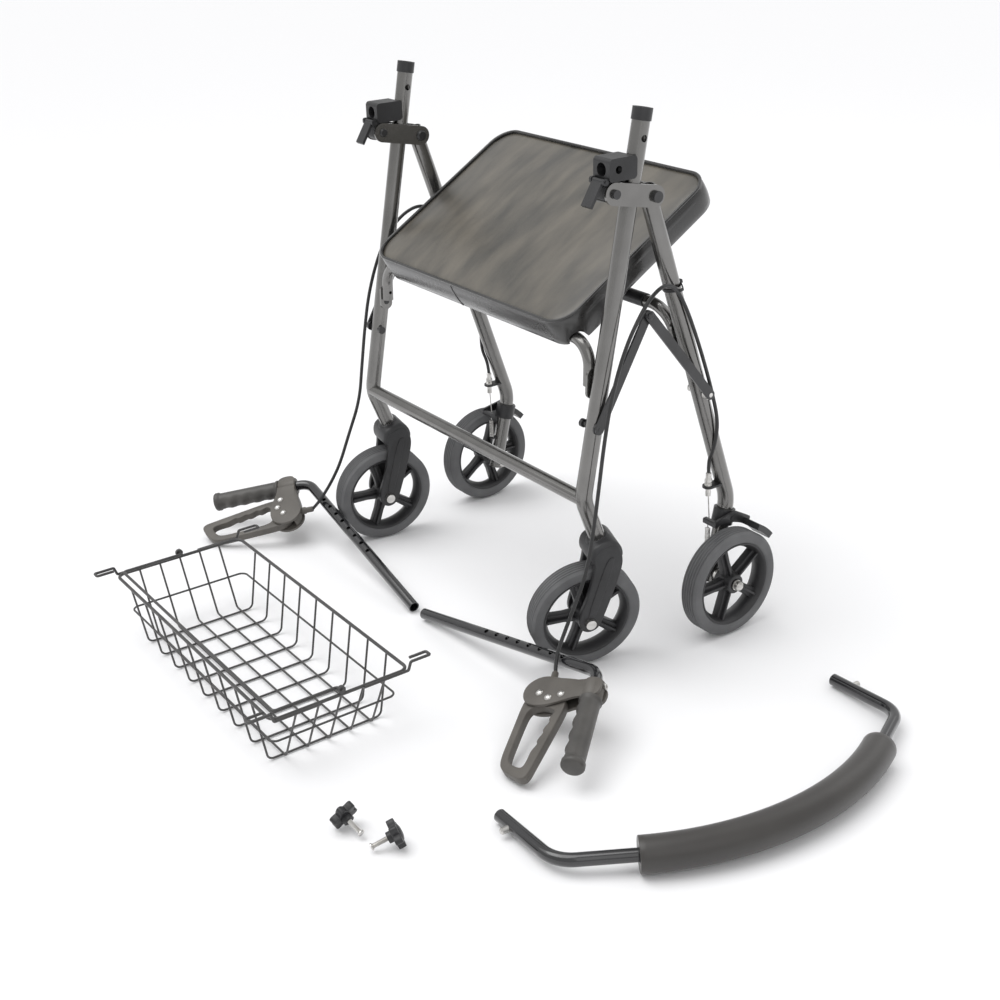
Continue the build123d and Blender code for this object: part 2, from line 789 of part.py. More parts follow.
rim_x, rim_y = rim_half
floor_x, floor_y = floor_half
rim_z = basket_height
rim_route = [basket_at(rim_x, rim_y, rim_z), basket_at(rim_x, -rim_y, rim_z),
             basket_at(-rim_x, -rim_y, rim_z), basket_at(-rim_x, rim_y, rim_z)]
hook_out = 30.0
hook_rise = 11.0
bail_z = rim_z + 6.5
with BuildPart() as basket_rim:
    add(wire_loop(rim_route, 12.0, rim_wire_r, closed=True))
    for sx in (1, -1):
        for sy in (1, -1):
            add(wire_loop(
                [basket_at(sx * (rim_x + 3.6), sy * 30, rim_z),
                 basket_at(sx * (rim_x + 3.6), sy * (rim_y - 2), rim_z),
                 basket_at(sx * (rim_x + 3.6), sy * (rim_y + 2), rim_z + hook_rise),
                 basket_at(sx * (rim_x + 3.6), sy * (rim_y + hook_out), rim_z + hook_rise),
                 basket_at(sx * (rim_x - 6), sy * (rim_y + hook_out), rim_z + hook_rise),
                 basket_at(sx * (rim_x - 6), sy * (rim_y + 6), rim_z + hook_rise)],
                2.3, 1.9))
        add(turned(basket_at(sx * rim_x, 0, bail_z), (1, 0, 0),
                   [(2.1, -2), (5.2, -2), (5.2, 2), (2.1, 2)]))
write(basket_rim, "basket_rim")

bail_x = rim_x - 7.5
bail_y = rim_y - 7.0
with BuildPart() as basket_handle:
    add(wire_loop(
        [basket_at(rim_x + 4, 0, bail_z), basket_at(bail_x, 0, bail_z),
         basket_at(bail_x, -bail_y, bail_z), basket_at(-bail_x, -bail_y, bail_z),
         basket_at(-bail_x, 0, bail_z), basket_at(-rim_x - 4, 0, bail_z)],
        5.0, 2.0))
write(basket_handle, "basket_handle")

low_z = wire_r
high_z = 3.4 * wire_r
ring_z = 0.5 * basket_height
ring_share = ring_z / basket_height
ring_x = floor_x + (rim_x - floor_x) * ring_share
ring_y = floor_y + (rim_y - floor_y) * ring_share
with BuildPart() as basket_wires:
    for i in range(cross_wires):
        x = (i / (cross_wires - 1) - 0.5) * 2 * 180.0
        add(wire_loop([basket_at(x, -rim_y, rim_z), basket_at(x, -floor_y, low_z),
                       basket_at(x, floor_y, low_z), basket_at(x, rim_y, rim_z)], 9.0, wire_r))
    for i in range(long_wires):
        y = (i / (long_wires - 1) - 0.5) * 2 * 61.0
        add(wire_loop([basket_at(-rim_x, y, rim_z), basket_at(-floor_x, y, high_z),
                       basket_at(floor_x, y, high_z), basket_at(rim_x, y, rim_z)], 7.0, wire_r))
    add(wire_loop([basket_at(ring_x, ring_y, ring_z), basket_at(ring_x, -ring_y, ring_z),
                   basket_at(-ring_x, -ring_y, ring_z), basket_at(-ring_x, ring_y, ring_z)],
                  10.0, wire_r, closed=True))
write(basket_wires, "basket_wires")

# ---------------------------------------------------------------- backrest
turn = math.radians(backrest_turn)
lift = math.asin((foam_r - slim_r) / (arm_length + (half_width - foam_half) * math.tan(
    math.radians(foam_end_angle))))
out_way = Vector(math.cos(turn) * math.cos(lift), math.sin(turn) * math.cos(lift), math.sin(lift))
across = Vector(-math.sin(turn), math.cos(turn), 0)
backrest = Plane(origin=at(*backrest_middle, slim_r + 0.1), x_dir=out_way,
                 z_dir=out_way.cross(across))
end_slope = math.radians(foam_end_angle)
foam_start = arm_length + (half_width - foam_half) * math.tan(end_slope)
arc_r = foam_half / math.sin(end_slope)
apex = foam_start + arc_r * (1 - math.cos(end_slope))

foam_low, foam_top, foam_high = (
    local(backrest, foam_start, -foam_half),
    local(backrest, apex, 0),
    local(backrest, foam_start, foam_half),
)
arm_ends = [local(backrest, 0, s * half_width) for s in (-1, 1)]
arm_corners = [local(backrest, arm_length, s * half_width) for s in (-1, 1)]
button_reach = 28.0

with BuildPart() as backrest_tube:
    with BuildLine() as line:
        FilletPolyline(arm_ends[0], arm_corners[0], foam_low, radius=40)
        ThreePointArc(foam_low, foam_top, foam_high)
        FilletPolyline(foam_high, arm_corners[1], arm_ends[1], radius=40)
    with BuildSketch(Plane(origin=arm_ends[0], z_dir=backrest.x_dir)):
        Circle(slim_r)
        Circle(slim_bore, mode=Mode.SUBTRACT)
    sweep()
    for s in (-1, 1):
        spot = local(backrest, button_reach, s * half_width)
        add(cylinder(spot, backrest.y_dir * s, 4.3, 3, 12), mode=Mode.SUBTRACT)
write(backrest_tube, "backrest_tube")

with BuildPart() as backrest_foam:
    with BuildLine() as line:
        ThreePointArc(foam_low, foam_top, foam_high)
    with BuildSketch(Plane(origin=line.line @ 0, z_dir=line.line % 0)):
        Circle(foam_r)
        Circle(slim_r, mode=Mode.SUBTRACT)
    sweep()
write(backrest_foam, "backrest_foam")

for side_name, s in (("near", -1), ("far", 1)):
    with BuildPart() as button:
        add(turned(local(backrest, button_reach, s * half_width), backrest.y_dir * s,
                   [(0, 4.5), (4.2, 4.5), (4.2, 15.5), (2.6, 17), (0, 17)]))
    write(button, f"backrest_button_{side_name}")


# ---------------------------------------------------------------- star knobs
def star_knob(name, place, way):
    dip = math.atan2(knob_r - stud_tip_r, stud_length + knob_thick / 2)
    out = Vector(way[0] * math.cos(dip), way[1] * math.cos(dip), -math.sin(dip))
    height = knob_r * math.cos(dip) + knob_thick / 2 * math.sin(dip) + 0.3
    head_plane = Plane(origin=at(*place, height), z_dir=out)
    with BuildPart() as head:
        with BuildSketch(head_plane.offset(-knob_thick / 2)):
            Circle(knob_r - 4)
            with PolarLocations(knob_r - 4.5, 6):
                Circle(4.5)
        extrude(amount=knob_thick)
        with BuildSketch(head_plane.offset(knob_thick / 2)):
            Circle(6.5)
        extrude(amount=5)
        with BuildSketch(head_plane.offset(-knob_thick / 2 + 3)):
            Circle(stud_r)
        extrude(amount=knob_thick + 5, mode=Mode.SUBTRACT)
    write(head, f"knob_head_{name}")
    start = -knob_thick / 2 + 3
    end = knob_thick / 2 + stud_length
    with BuildPart() as stud:
        add(turned(head_plane.origin, out,
                   [(0, start), (stud_r, start), (stud_r, end - 3), (stud_tip_r, end - 2),
                    (stud_tip_r, end), (0, end)]))
    write(stud, f"knob_stud_{name}")


for side_name, (place, way) in knobs.items():
    star_knob(side_name, place, way)


# ---------------------------------------------------------------- brake cables
def cable(name, route):
    """Straight runs joined by tangent arcs, each as large as its two runs allow."""
    runs = [(route[i + 1] - route[i]).length for i in range(len(route) - 1)]
    radii = []
    with BuildPart() as piece:
        with BuildLine() as line:
            here = route[0]
            for i in range(1, len(route) - 1):
                back = (route[i - 1] - route[i]).normalized()
                ahead = (route[i + 1] - route[i]).normalized()
                half_turn = (math.pi - math.radians(back.get_angle(ahead))) / 2
                reach = 0.45 * min(runs[i - 1], runs[i])
                radius = reach / math.tan(half_turn)
                radii.append(round(radius, 1))
                start, end = route[i] + back * reach, route[i] + ahead * reach
                inward = (back + ahead).normalized()
                top = route[i] + inward * (radius / math.cos(half_turn) - radius)
                Line(here, start)
                ThreePointArc(start, top, end)
                here = end
            Line(here, route[-1])
        with BuildSketch(Plane(origin=line.line @ 0, z_dir=line.line % 0)):
            Circle(cable_r)
        sweep()
    length = sum(edge.length for edge in line.edges())
    print(name, "length", round(length, 1), "radii", radii, "shortest", min(radii))
    print(name, "volume share", round(piece.part.volume / (math.pi * cable_r**2 * length), 4))
    write(piece, name)


stop_top = stop_spot[1] + 20.0
cable_points = {
    "right": [(296, -93, 78), (293, -80, 98), (292, -66, 124), (291, -44, 166),
              (289.5, -31, 222), (288, -21, 280), (287, -12, 338), (286.5, 0, 396),
              (286, 20, 450), (285, 43, 486), (281, 66, 507), (276.5, 90, 516),
              (273, 112, 508), (272.6, 131, 478), (272.2, 150, 436), (270.5, 168, 394),
              (267.5, 184.5, 354), (272.5, 192, 316), (272.5, 192.3, 291), (268.5, 190.5, 267),
              (257.2, 193.4, 248)],
    "left": [(-309, -92, 79), (-304, -79, 100), (-300, -64, 128), (-296, -48, 172),
             (-291, -27, 226), (-290, -19, 282), (-288, -11, 340), (-287, 0, 396),
             (-286.5, 20, 450), (-285, 43, 486), (-281, 66, 507), (-276.5, 90, 516),
             (-273, 112, 508), (-272.6, 131, 478), (-272.2, 150, 436), (-270.5, 168, 394),
             (-267.5, 184.5, 354), (-272.5, 192, 316), (-272.5, 192.3, 291), (-268.5, 190.5, 267),
             (-257.2, 193.4, 248)],
}
for side_name, side in sides:
    plane = handle_planes[side_name]
    route = [local(plane, -11, 62), local(plane, -22, 61, -8 * side)]
    route += [at(*point) for point in cable_points[side_name]]
    route += [at(side * half_width, stop_spot[0], stop_top + 0.4)]
    cable(f"brake_cable_{side_name}", route)
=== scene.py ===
import math

import bmesh
import bpy
from mathutils import Matrix, Vector


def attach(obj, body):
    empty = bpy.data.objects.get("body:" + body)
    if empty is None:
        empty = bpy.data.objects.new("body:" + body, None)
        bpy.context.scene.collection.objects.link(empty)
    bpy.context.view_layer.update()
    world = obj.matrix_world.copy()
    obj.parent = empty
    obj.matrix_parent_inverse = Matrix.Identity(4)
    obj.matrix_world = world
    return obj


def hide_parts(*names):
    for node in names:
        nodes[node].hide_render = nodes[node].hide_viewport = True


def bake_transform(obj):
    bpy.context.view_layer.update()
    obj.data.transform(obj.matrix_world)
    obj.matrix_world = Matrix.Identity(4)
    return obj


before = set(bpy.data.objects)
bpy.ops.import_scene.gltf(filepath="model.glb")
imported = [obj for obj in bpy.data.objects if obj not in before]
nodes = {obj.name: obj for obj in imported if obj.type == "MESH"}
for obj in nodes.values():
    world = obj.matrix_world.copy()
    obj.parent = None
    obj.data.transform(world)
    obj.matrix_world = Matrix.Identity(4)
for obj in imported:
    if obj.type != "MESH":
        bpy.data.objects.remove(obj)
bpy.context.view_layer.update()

walkerX = -0.106
walkerY = 0.109
halfWidth = 257
sides = (("right", 1), ("left", -1))


def at(x, y, z):  # millimetres counted on the walker, to metres in the frame
    return Vector((x * 0.001 + walkerX, y * 0.001 + walkerY, z * 0.001))


def placeOn(origin, xWay, zWay):  # a place whose own units are millimetres
    zWay = Vector(zWay).normalized()
    xWay = Vector(xWay).normalized()
    yWay = zWay.cross(xWay)
    turn = Matrix((xWay, yWay, zWay)).transposed().to_4x4()
    return Matrix.Translation(origin) @ turn @ Matrix.Scale(0.001, 4)


def mergeInto(target, source, place=Matrix()):
    source.transform(place)
    part = bpy.data.meshes.new("part")
    source.to_mesh(part)
    source.free()
    target.from_mesh(part)
    bpy.data.meshes.remove(part)


def lathe(target, outline, place=Matrix(), steps=64, closed=True):
    # outline points are (radius, height), turned round the local z
    bm = bmesh.new()
    ring = [bm.verts.new((radius, 0, height)) for radius, height in outline]
    last = len(ring) if closed else len(ring) - 1
    for i in range(last):
        bm.edges.new((ring[i], ring[(i + 1) % len(ring)]))
    bmesh.ops.spin(bm, geom=bm.verts[:] + bm.edges[:], cent=(0, 0, 0), axis=(0, 0, 1),
                   angle=2 * math.pi, steps=steps, use_merge=True, use_duplicate=False)
    bmesh.ops.remove_doubles(bm, verts=bm.verts[:], dist=0.001)
    bmesh.ops.dissolve_degenerate(bm, edges=bm.edges[:], dist=0.0005)
    bmesh.ops.recalc_face_normals(bm, faces=bm.faces[:])
    mergeInto(target, bm, place)


def curveMesh(curve):
    holder = bpy.data.objects.new("outline", curve)
    mesh = bpy.data.meshes.new_from_object(holder)
    bpy.data.objects.remove(holder)
    bpy.data.curves.remove(curve)
    return mesh


def addSpline(curve, points, smooth, cyclic, fine=6):
    spline = curve.splines.new("NURBS" if smooth else "POLY")
    spline.points.add(len(points) - 1)
    for point, place in zip(spline.points, points):
        point.co = (*place, 1.0) if len(place) == 3 else (*place, 0.0, 1.0)
    spline.use_cyclic_u = cyclic
    if smooth:
        spline.order_u = 3
        spline.use_endpoint_u = not cyclic
        spline.resolution_u = fine


def mergeMesh(target, mesh, place, weld=0.002):
    bm = bmesh.new()
    bm.from_mesh(mesh)
    bpy.data.meshes.remove(mesh)
    bmesh.ops.remove_doubles(bm, verts=bm.verts[:], dist=weld)
    bmesh.ops.recalc_face_normals(bm, faces=bm.faces[:])
    mergeInto(target, bm, place)


def plate(target, loops, thick, edge, place=Matrix(), smooth=True):
    # a flat piece of that thickness about its own plane, with rounded edges and holes
    curve = bpy.data.curves.new("plate", "CURVE")
    curve.dimensions = "2D"
    curve.fill_mode = "BOTH"
    curve.extrude = thick / 2 - edge
    curve.bevel_depth = edge
    curve.bevel_resolution = 2
    for loop in loops:
        addSpline(curve, loop, smooth, True)
    mergeMesh(target, curveMesh(curve), place)


def tube(target, points, radius, place=Matrix(), smooth=True, cyclic=False, fine=6, rounds=3):
    curve = bpy.data.curves.new("tube", "CURVE")
    curve.dimensions = "3D"
    curve.bevel_depth = radius
    curve.bevel_resolution = rounds
    curve.use_fill_caps = not cyclic
    addSpline(curve, points, smooth, cyclic, fine)
    mergeMesh(target, curveMesh(curve), place)


def circle(radius, x=0.0, y=0.0, count=24):
    turns = [2 * math.pi * i / count for i in range(count)]
    return [(x + radius * math.cos(a), y + radius * math.sin(a)) for a in turns]


def addPiece(name, bm, place, material, body="", replaced=(), sharp=40):
    mesh = bpy.data.meshes.new(name)
    bm.to_mesh(mesh)
    bm.free()
    mesh.transform(place)
    mesh.materials.append(material)
    mesh.shade_smooth()
    mesh.set_sharp_from_angle(angle=math.radians(sharp))
    piece = bpy.data.objects.new(name, mesh)
    bpy.context.scene.collection.objects.link(piece)
    if body:
        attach(piece, body)
    if replaced:
        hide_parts(*replaced)
    return piece


# camera
cameraSettings = {
    "place": (1.462, -0.9589, 1.0261),
    "azimuth": 55.0,
    "elevation": 24.73,
    "roll": -1.58,
    "lens": 52.45,
}


def makeCamera(s):
    azimuth, elevation, roll = (math.radians(s[k]) for k in ("azimuth", "elevation", "roll"))
    back = Vector((math.sin(azimuth) * math.cos(elevation),
                   -math.cos(azimuth) * math.cos(elevation), math.sin(elevation)))
    level = Vector((math.cos(azimuth), math.sin(azimuth), 0))
    upright = back.cross(level)
    right = math.cos(roll) * level + math.sin(roll) * upright
    up = -math.sin(roll) * level + math.cos(roll) * upright
    camera = bpy.data.objects.new("camera", bpy.data.cameras.new("camera"))
    camera.data.lens = s["lens"]
    camera.data.sensor_width = 36
    turn = Matrix((right, up, back)).transposed().to_4x4()
    camera.matrix_world = Matrix.Translation(s["place"]) @ turn
    bpy.context.scene.collection.objects.link(camera)
    bpy.context.scene.camera = camera


makeCamera(cameraSettings)
print("camera placed")


# materials: colour and roughness wander a little, and a fine bump gives the surface its grain
def makeMaterial(name, s):
    material = bpy.data.materials.new(name)
    material.use_nodes = True
    tree = material.node_tree
    shader = tree.nodes["Principled BSDF"]
    for socket, value in s.get("shader", {}).items():
        shader.inputs[socket].default_value = value
    coords = tree.nodes.new("ShaderNodeTexCoord")
    mapping = tree.nodes.new("ShaderNodeMapping")
    mapping.inputs["Scale"].default_value = s.get("stretch", (1, 1, 1))
    tree.links.new(coords.outputs["Object"], mapping.inputs["Vector"])

    broad = tree.nodes.new("ShaderNodeTexNoise")
    broad.inputs["Scale"].default_value = s.get("blotch", 25)
    broad.inputs["Detail"].default_value = 5
    tree.links.new(mapping.outputs["Vector"], broad.inputs["Vector"])
    tint = tree.nodes.new("ShaderNodeValToRGB")
    tint.color_ramp.elements[0].position = s.get("rampLow", 0.32)
    tint.color_ramp.elements[0].color = (*s["dark"], 1)
    tint.color_ramp.elements[1].position = s.get("rampHigh", 0.68)
    tint.color_ramp.elements[1].color = (*s["light"], 1)
    tree.links.new(broad.outputs["Fac"], tint.inputs["Fac"])
    tree.links.new(tint.outputs["Color"], shader.inputs["Base Color"])

    gloss = tree.nodes.new("ShaderNodeMapRange")
    gloss.inputs["To Min"].default_value = s["rough"][0]
    gloss.inputs["To Max"].default_value = s["rough"][1]
    smear = tree.nodes.new("ShaderNodeTexNoise")
    smear.inputs["Scale"].default_value = s.get("smear", 60)
    smear.inputs["Detail"].default_value = 3
    tree.links.new(mapping.outputs["Vector"], smear.inputs["Vector"])
    tree.links.new(smear.outputs["Fac"], gloss.inputs["Value"])
    tree.links.new(gloss.outputs["Result"], shader.inputs["Roughness"])

    if s.get("grainKind") == "cells":
        grain = tree.nodes.new("ShaderNodeTexVoronoi")
        height = grain.outputs["Distance"]
    else:
        grain = tree.nodes.new("ShaderNodeTexNoise")
        grain.inputs["Detail"].default_value = 2
        height = grain.outputs["Fac"]
    grain.inputs["Scale"].default_value = s.get("grain", 900)
    tree.links.new(coords.outputs["Object"], grain.inputs["Vector"])
    bump = tree.nodes.new("ShaderNodeBump")
    bump.inputs["Strength"].default_value = s.get("bump", 0.15)
    bump.inputs["Distance"].default_value = s.get("bumpDepth", 0.0004)
    tree.links.new(height, bump.inputs["Height"])
    tree.links.new(bump.outputs["Normal"], shader.inputs["Normal"])
    return material


materialSettings = {
    "framePaint": {"dark": (0.17, 0.167, 0.161), "light": (0.2, 0.196, 0.19), "blotch": 25,
                   "rough": (0.17, 0.24), "grain": 2600, "bump": 0.04,
                   "shader": {"Metallic": 0.9, "Coat Weight": 0.5, "Coat Roughness": 0.08}},
    "blackPaint": {"dark": (0.014, 0.014, 0.015), "light": (0.03, 0.03, 0.032),
                   "rough": (0.26, 0.36), "grain": 1800, "bump": 0.06,
                   "shader": {"Coat Weight": 0.15}},
    "glossBlack": {"dark": (0.008, 0.008, 0.009), "light": (0.016, 0.016, 0.018),
                   "rough": (0.12, 0.22), "grain": 1500, "bump": 0.03,
                   "shader": {"Coat Weight": 0.8, "Coat Roughness": 0.06}},
    "zincSteel": {"dark": (0.5, 0.49, 0.47), "light": (0.72, 0.71, 0.69), "rough": (0.22, 0.38),
                  "stretch": (1, 1, 6), "grain": 1500, "bump": 0.05, "shader": {"Metallic": 1.0}},
    "blackPlastic": {"dark": (0.012, 0.012, 0.013), "light": (0.022, 0.022, 0.024),
                     "rough": (0.34, 0.48), "grain": 1400, "bump": 0.25, "shader": {}},
    "housingPlastic": {"dark": (0.085, 0.078, 0.069), "light": (0.115, 0.106, 0.094),
                       "rough": (0.42, 0.56), "grain": 1600, "bump": 0.2, "shader": {}},
    "gripRubber": {"dark": (0.05, 0.048, 0.045), "light": (0.085, 0.08, 0.074),
                   "rough": (0.38, 0.52), "grain": 1200, "bump": 0.3, "shader": {}},
    "tyreRubber": {"dark": (0.095, 0.096, 0.099), "light": (0.13, 0.131, 0.134), "blotch": 30,
                   "rough": (0.55, 0.7), "grain": 1300, "bump": 0.3, "shader": {}},
    "wheelNylon": {"dark": (0.016, 0.016, 0.017), "light": (0.028, 0.028, 0.03),
                   "rough": (0.36, 0.5), "grain": 1500, "bump": 0.22, "shader": {}},
    # the seat's top and sides are one vinyl: the top copy is lighter as painted light, the side
    # copy darker as painted shade
    "seatTopVinylPaintedLight": {"dark": (0.05, 0.047, 0.04), "light": (0.125, 0.112, 0.09), "blotch": 15,
                     "stretch": (2.2, 0.55, 1), "rough": (0.24, 0.46), "smear": 14,
                     "grainKind": "cells", "grain": 620, "bump": 0.3, "bumpDepth": 0.0003,
                     "shader": {"Coat Weight": 0.35, "Coat Roughness": 0.3}},
    "seatSideVinylPaintedShade": {"dark": (0.012, 0.012, 0.012), "light": (0.03, 0.029, 0.028), "blotch": 12,
                      "rough": (0.2, 0.36), "smear": 20, "grainKind": "cells", "grain": 620,
                      "bump": 0.3, "bumpDepth": 0.0003,
                      "shader": {"Coat Weight": 0.5, "Coat Roughness": 0.16}},
    "boardFace": {"dark": (0.03, 0.028, 0.026), "light": (0.06, 0.055, 0.05),
                  "stretch": (1, 14, 1), "rough": (0.6, 0.8), "grain": 500, "bump": 0.2,
                  "shader": {}},
    "basketDip": {"dark": (0.035, 0.034, 0.034), "light": (0.06, 0.058, 0.057),
                  "rough": (0.3, 0.45), "grain": 900, "bump": 0.1, "shader": {"Coat Weight": 0.2}},
    "backFoam": {"dark": (0.034, 0.031, 0.029), "light": (0.042, 0.039, 0.036), "blotch": 14,
                 "rough": (0.36, 0.44), "grainKind": "cells", "grain": 1900, "bump": 0.1,
                 "bumpDepth": 0.0003, "shader": {"Sheen Weight": 0.15}},
    "cableSheath": {"dark": (0.01, 0.01, 0.01), "light": (0.022, 0.022, 0.023),
                    "rough": (0.28, 0.4), "grain": 1500, "bump": 0.06, "shader": {}},
}
materials = {name: makeMaterial(name, s) for name, s in materialSettings.items()}
print("materials made")

# where each loose handle lies, as the design has it
handleSettings = {
    "corner": {"right": (362.4, -81.6, 71.4), "left": (-376.1, -82.8, 71.4)},
    "stemYaw": 4.8,
    "stemPitch": 10,
    "roll": 21.3,
    "angle": 120.8,
    "leverPin": (34, 69),
}


def handlePlace(name, side, s):
    yaw, pitch = math.radians(s["stemYaw"]), math.radians(s["stemPitch"])
    roll, angle = math.radians(s["roll"]), math.radians(s["angle"])
    stem = Vector((-side * math.cos(yaw) * math.cos(pitch), -math.sin(yaw) * math.cos(pitch),
                   -math.sin(pitch)))
    level = stem.cross(Vector((0, 0, 1))).normalized()
    level = -level if level.y > 0 else level
    rise = level.cross(stem)
    rise = -rise if rise.z < 0 else rise
    away = level * math.cos(roll) - rise * math.sin(roll)
    grip = stem * math.cos(angle) + away * math.sin(angle)
    towards = stem * math.sin(angle) - away * math.cos(angle)
    return placeOn(at(*s["corner"][name]), grip, grip.cross(towards))


handlePlaces = {name: handlePlace(name, side, handleSettings) for name, side in sides}

# brake cables
cableSettings = {
    "radius": 0.0025,
    "length": {"right": 0.843, "left": 0.8445},
    "leaves": [(-11, 62, 0), (-22, 61, -8)],
    "adjusterTop": (257, 195, 230.4),
    "route": {
        "right": [(296, -93, 78), (293, -80, 98), (292, -66, 124), (291, -44, 166),
                  (289.5, -31, 222), (288, -21, 280), (287, -12, 338), (286.5, 0, 396)],
        "left": [(309, -92, 79), (304, -79, 100), (300, -64, 128), (296, -48, 172),
                 (291, -27, 226), (290, -19, 282), (288, -11, 340), (287, 0, 396)],
    },
    "overTheBrace": [(286, 20, 450), (285, 43, 486), (281, 66, 507), (276.5, 90, 516),
                     (273, 112, 508), (272.6, 131, 478), (272.2, 150, 436),
                     (270.5, 168, 394), (267.5, 184.5, 354), (272.5, 192, 316),
                     (272.5, 192.3, 291), (268.5, 190.5, 267), (257.2, 193.4, 248)],
    "weld": 0.000002,  # in metres, as the line is
}


def makeCable(name, side, s):
    start, second = s["leaves"]
    start = handlePlaces[name] @ Vector(start)
    second = handlePlaces[name] @ Vector((second[0], second[1], second[2] * side))
    points = [start, second]
    for x, y, z in s["route"][name] + s["overTheBrace"] + [s["adjusterTop"]]:
        points.append(at(side * x, y, z))

    def line(radius):
        curve = bpy.data.curves.new("cable", "CURVE")
        curve.dimensions = "3D"
        curve.bevel_depth = radius
        curve.bevel_resolution = 3
        curve.use_fill_caps = True
        addSpline(curve, points, True, False, 12)
        return curveMesh(curve)

    path = [tuple(v.co) for v in line(0).vertices]
    bm = bmesh.new()
    mergeMesh(bm, line(s["radius"]), Matrix(), weld=s["weld"])
    cable = addPiece(f"cable_{name}", bm, Matrix(), materials["cableSheath"],
                     replaced=[f"brake_cable_{name}"])
    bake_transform(cable)


for sideName, side in sides:
    makeCable(sideName, side, cableSettings)
print("cables made")

# wheels
wheelSettings = {
    "radius": 76.2,
    "tyreInner": 60,
    "halfWidth": 15,
    "groovePitch": 4.6,
    "grooveDepth": 1.5,
    "spokes": 5,
    "hubRadius": 15,
    "bore": 4.2,
}


def tyreOutline(s):
    half, radius = s["halfWidth"], s["radius"]
    points = [(s["tyreInner"], 2 - half), (s["tyreInner"] + 1.4, 0.6 - half),
              (s["tyreInner"] + 3, -half), (radius - 5.5, -half), (radius - 3, 0.7 - half),
              (radius - 1.3, 2.6 - half)]
    for groove in range(-2, 3):
        middle = groove * s["groovePitch"]
        points += [(radius - 0.1, middle - 1.6), (radius - s["grooveDepth"], middle - 0.7),
                   (radius - s["grooveDepth"], middle + 0.7), (radius - 0.1, middle + 1.6)]
    points += [(radius - 1.3, half - 2.6), (radius - 3, half - 0.7), (radius - 5.5, half),
               (s["tyreInner"] + 3, half), (s["tyreInner"] + 1.4, half - 0.6),
               (s["tyreInner"], half - 2)]
    return points


def makeWheel(label, centre, axle, body, tyreNode, rimNode, s):
    axle = Vector(axle).normalized()
    place = placeOn(centre, axle.cross(Vector((0, 0, 1))), axle)
    tyre = bmesh.new()
    lathe(tyre, tyreOutline(s), steps=120)
    addPiece(f"{label}_tyre", tyre, place, materials["tyreRubber"], body,
             [tyreNode], sharp=30)
    rim = bmesh.new()
    inner = s["tyreInner"]
    lathe(rim, [(inner - 3, -12.6), (inner - 2, -13.6), (inner - 0.2, -13.8),
                (inner - 0.2, 13.8), (inner - 2, 13.6), (inner - 3, 12.6), (inner - 6, 7),
                (inner - 8, 1.5), (inner - 8, -1.5), (inner - 6, -7)], steps=96)
    for i in range(s["spokes"]):
        turn = Matrix.Rotation(2 * math.pi * i / s["spokes"], 4, "Z")
        plate(rim, [[(9, -7.4), (30, -5.4), (54, -6.2), (54, 6.2), (30, 5.4), (9, 7.4)]], 11, 1.2,
              turn, smooth=False)
        plate(rim, [[(12, -1.1), (54, -1.1), (54, 1.1), (12, 1.1)]], 21, 0.5, turn, smooth=False)
    hub = s["hubRadius"]
    lathe(rim, [(s["bore"], -15), (hub - 3, -15), (hub - 1.6, -14), (hub - 1.2, -9), (hub + 1, -4),
                (hub + 1, 4), (hub - 1.2, 9), (hub - 1.6, 14), (hub - 3, 15), (9, 15), (9, 13.4),
                (s["bore"], 13.4)], steps=48)
    addPiece(f"{label}_rim", rim, place, materials["wheelNylon"], body, [rimNode])


casterSettings = {
    "axis": (0, -0.359, 0.9333),
    "stemFoot": 196.5,
    "drop": 109,
    "trail": 52.8,
    "turn": {"right": -19.2, "left": -9.2},
    "bladeMiddle": 21.5,
    "bladeThick": 8,
}


def casterPlace(name, side, s):
    turn = math.radians(s["turn"][name])
    axis = Vector(s["axis"]).normalized()
    across = Vector((1, 0, 0))
    axle = across * math.cos(turn) + axis.cross(across) * math.sin(turn)
    return placeOn(at(side * halfWidth, 0, s["stemFoot"]), axle, axis)


def makeFork(name, place, s):
    sideOn = Matrix(((0, 0, 1, 0), (1, 0, 0, 0), (0, 1, 0, 0), (0, 0, 0, 1)))
    blade = [(-16, -12), (0, -9), (16, -12), (18, -26), (14, -44), (-10, -78), (-37, -113),
             (-47, -123), (-60, -122), (-67, -111), (-62, -95), (-42, -70), (-27, -46), (-18, -28)]
    axleHole = circle(4.6, -s["trail"], -s["drop"], 16)
    fork = bmesh.new()
    for way in (1, -1):
        shift = Matrix.Translation((way * s["bladeMiddle"], 0, 0))
        plate(fork, [blade, axleHole], s["bladeThick"], 1.6, shift @ sideOn)
        ridge = [(4, -24), (8, -30), (-44, -104), (-50, -103), (-52, -98), (-30, -66), (-6, -32)]
        plate(fork, [ridge], 2.4, 0.8, Matrix.Translation((way * 25.4, 0, 0)) @ sideOn)
    crown = [(-15, -11), (-9, -6), (9, -6), (15, -11), (18, -24), (14, -33), (-14, -30), (-19, -22)]
    plate(fork, [crown], 49, 5, sideOn)
    lathe(fork, [(6.2, -14), (17.6, -14), (16.4, -6), (14.6, -2.2), (12.4, -0.8), (6.2, -0.8)],
          steps=48)
    addPiece(f"caster_{name}_fork", fork, place, materials["wheelNylon"],
             f"caster_{name}", [f"caster_fork_{name}"])


rearAxle = (206.2, 76.2)
rearWheelX = halfWidth + 34.9
for sideName, side in sides:
    place = casterPlace(sideName, side, casterSettings)
    axleSpot = place @ Vector((0, -casterSettings["trail"], -casterSettings["drop"]))
    makeFork(sideName, place, casterSettings)
    makeWheel(f"front_{sideName}", axleSpot, place.to_3x3() @ Vector((1, 0, 0)),
              f"front_wheel_{sideName}", f"front_tyre_{sideName}", f"front_rim_{sideName}",
              wheelSettings)
    makeWheel(f"rear_{sideName}", at(side * rearWheelX, *rearAxle), (side, 0, 0),
              f"rear_wheel_{sideName}", f"rear_tyre_{sideName}", f"rear_rim_{sideName}",
              wheelSettings)
print("wheels and forks made")

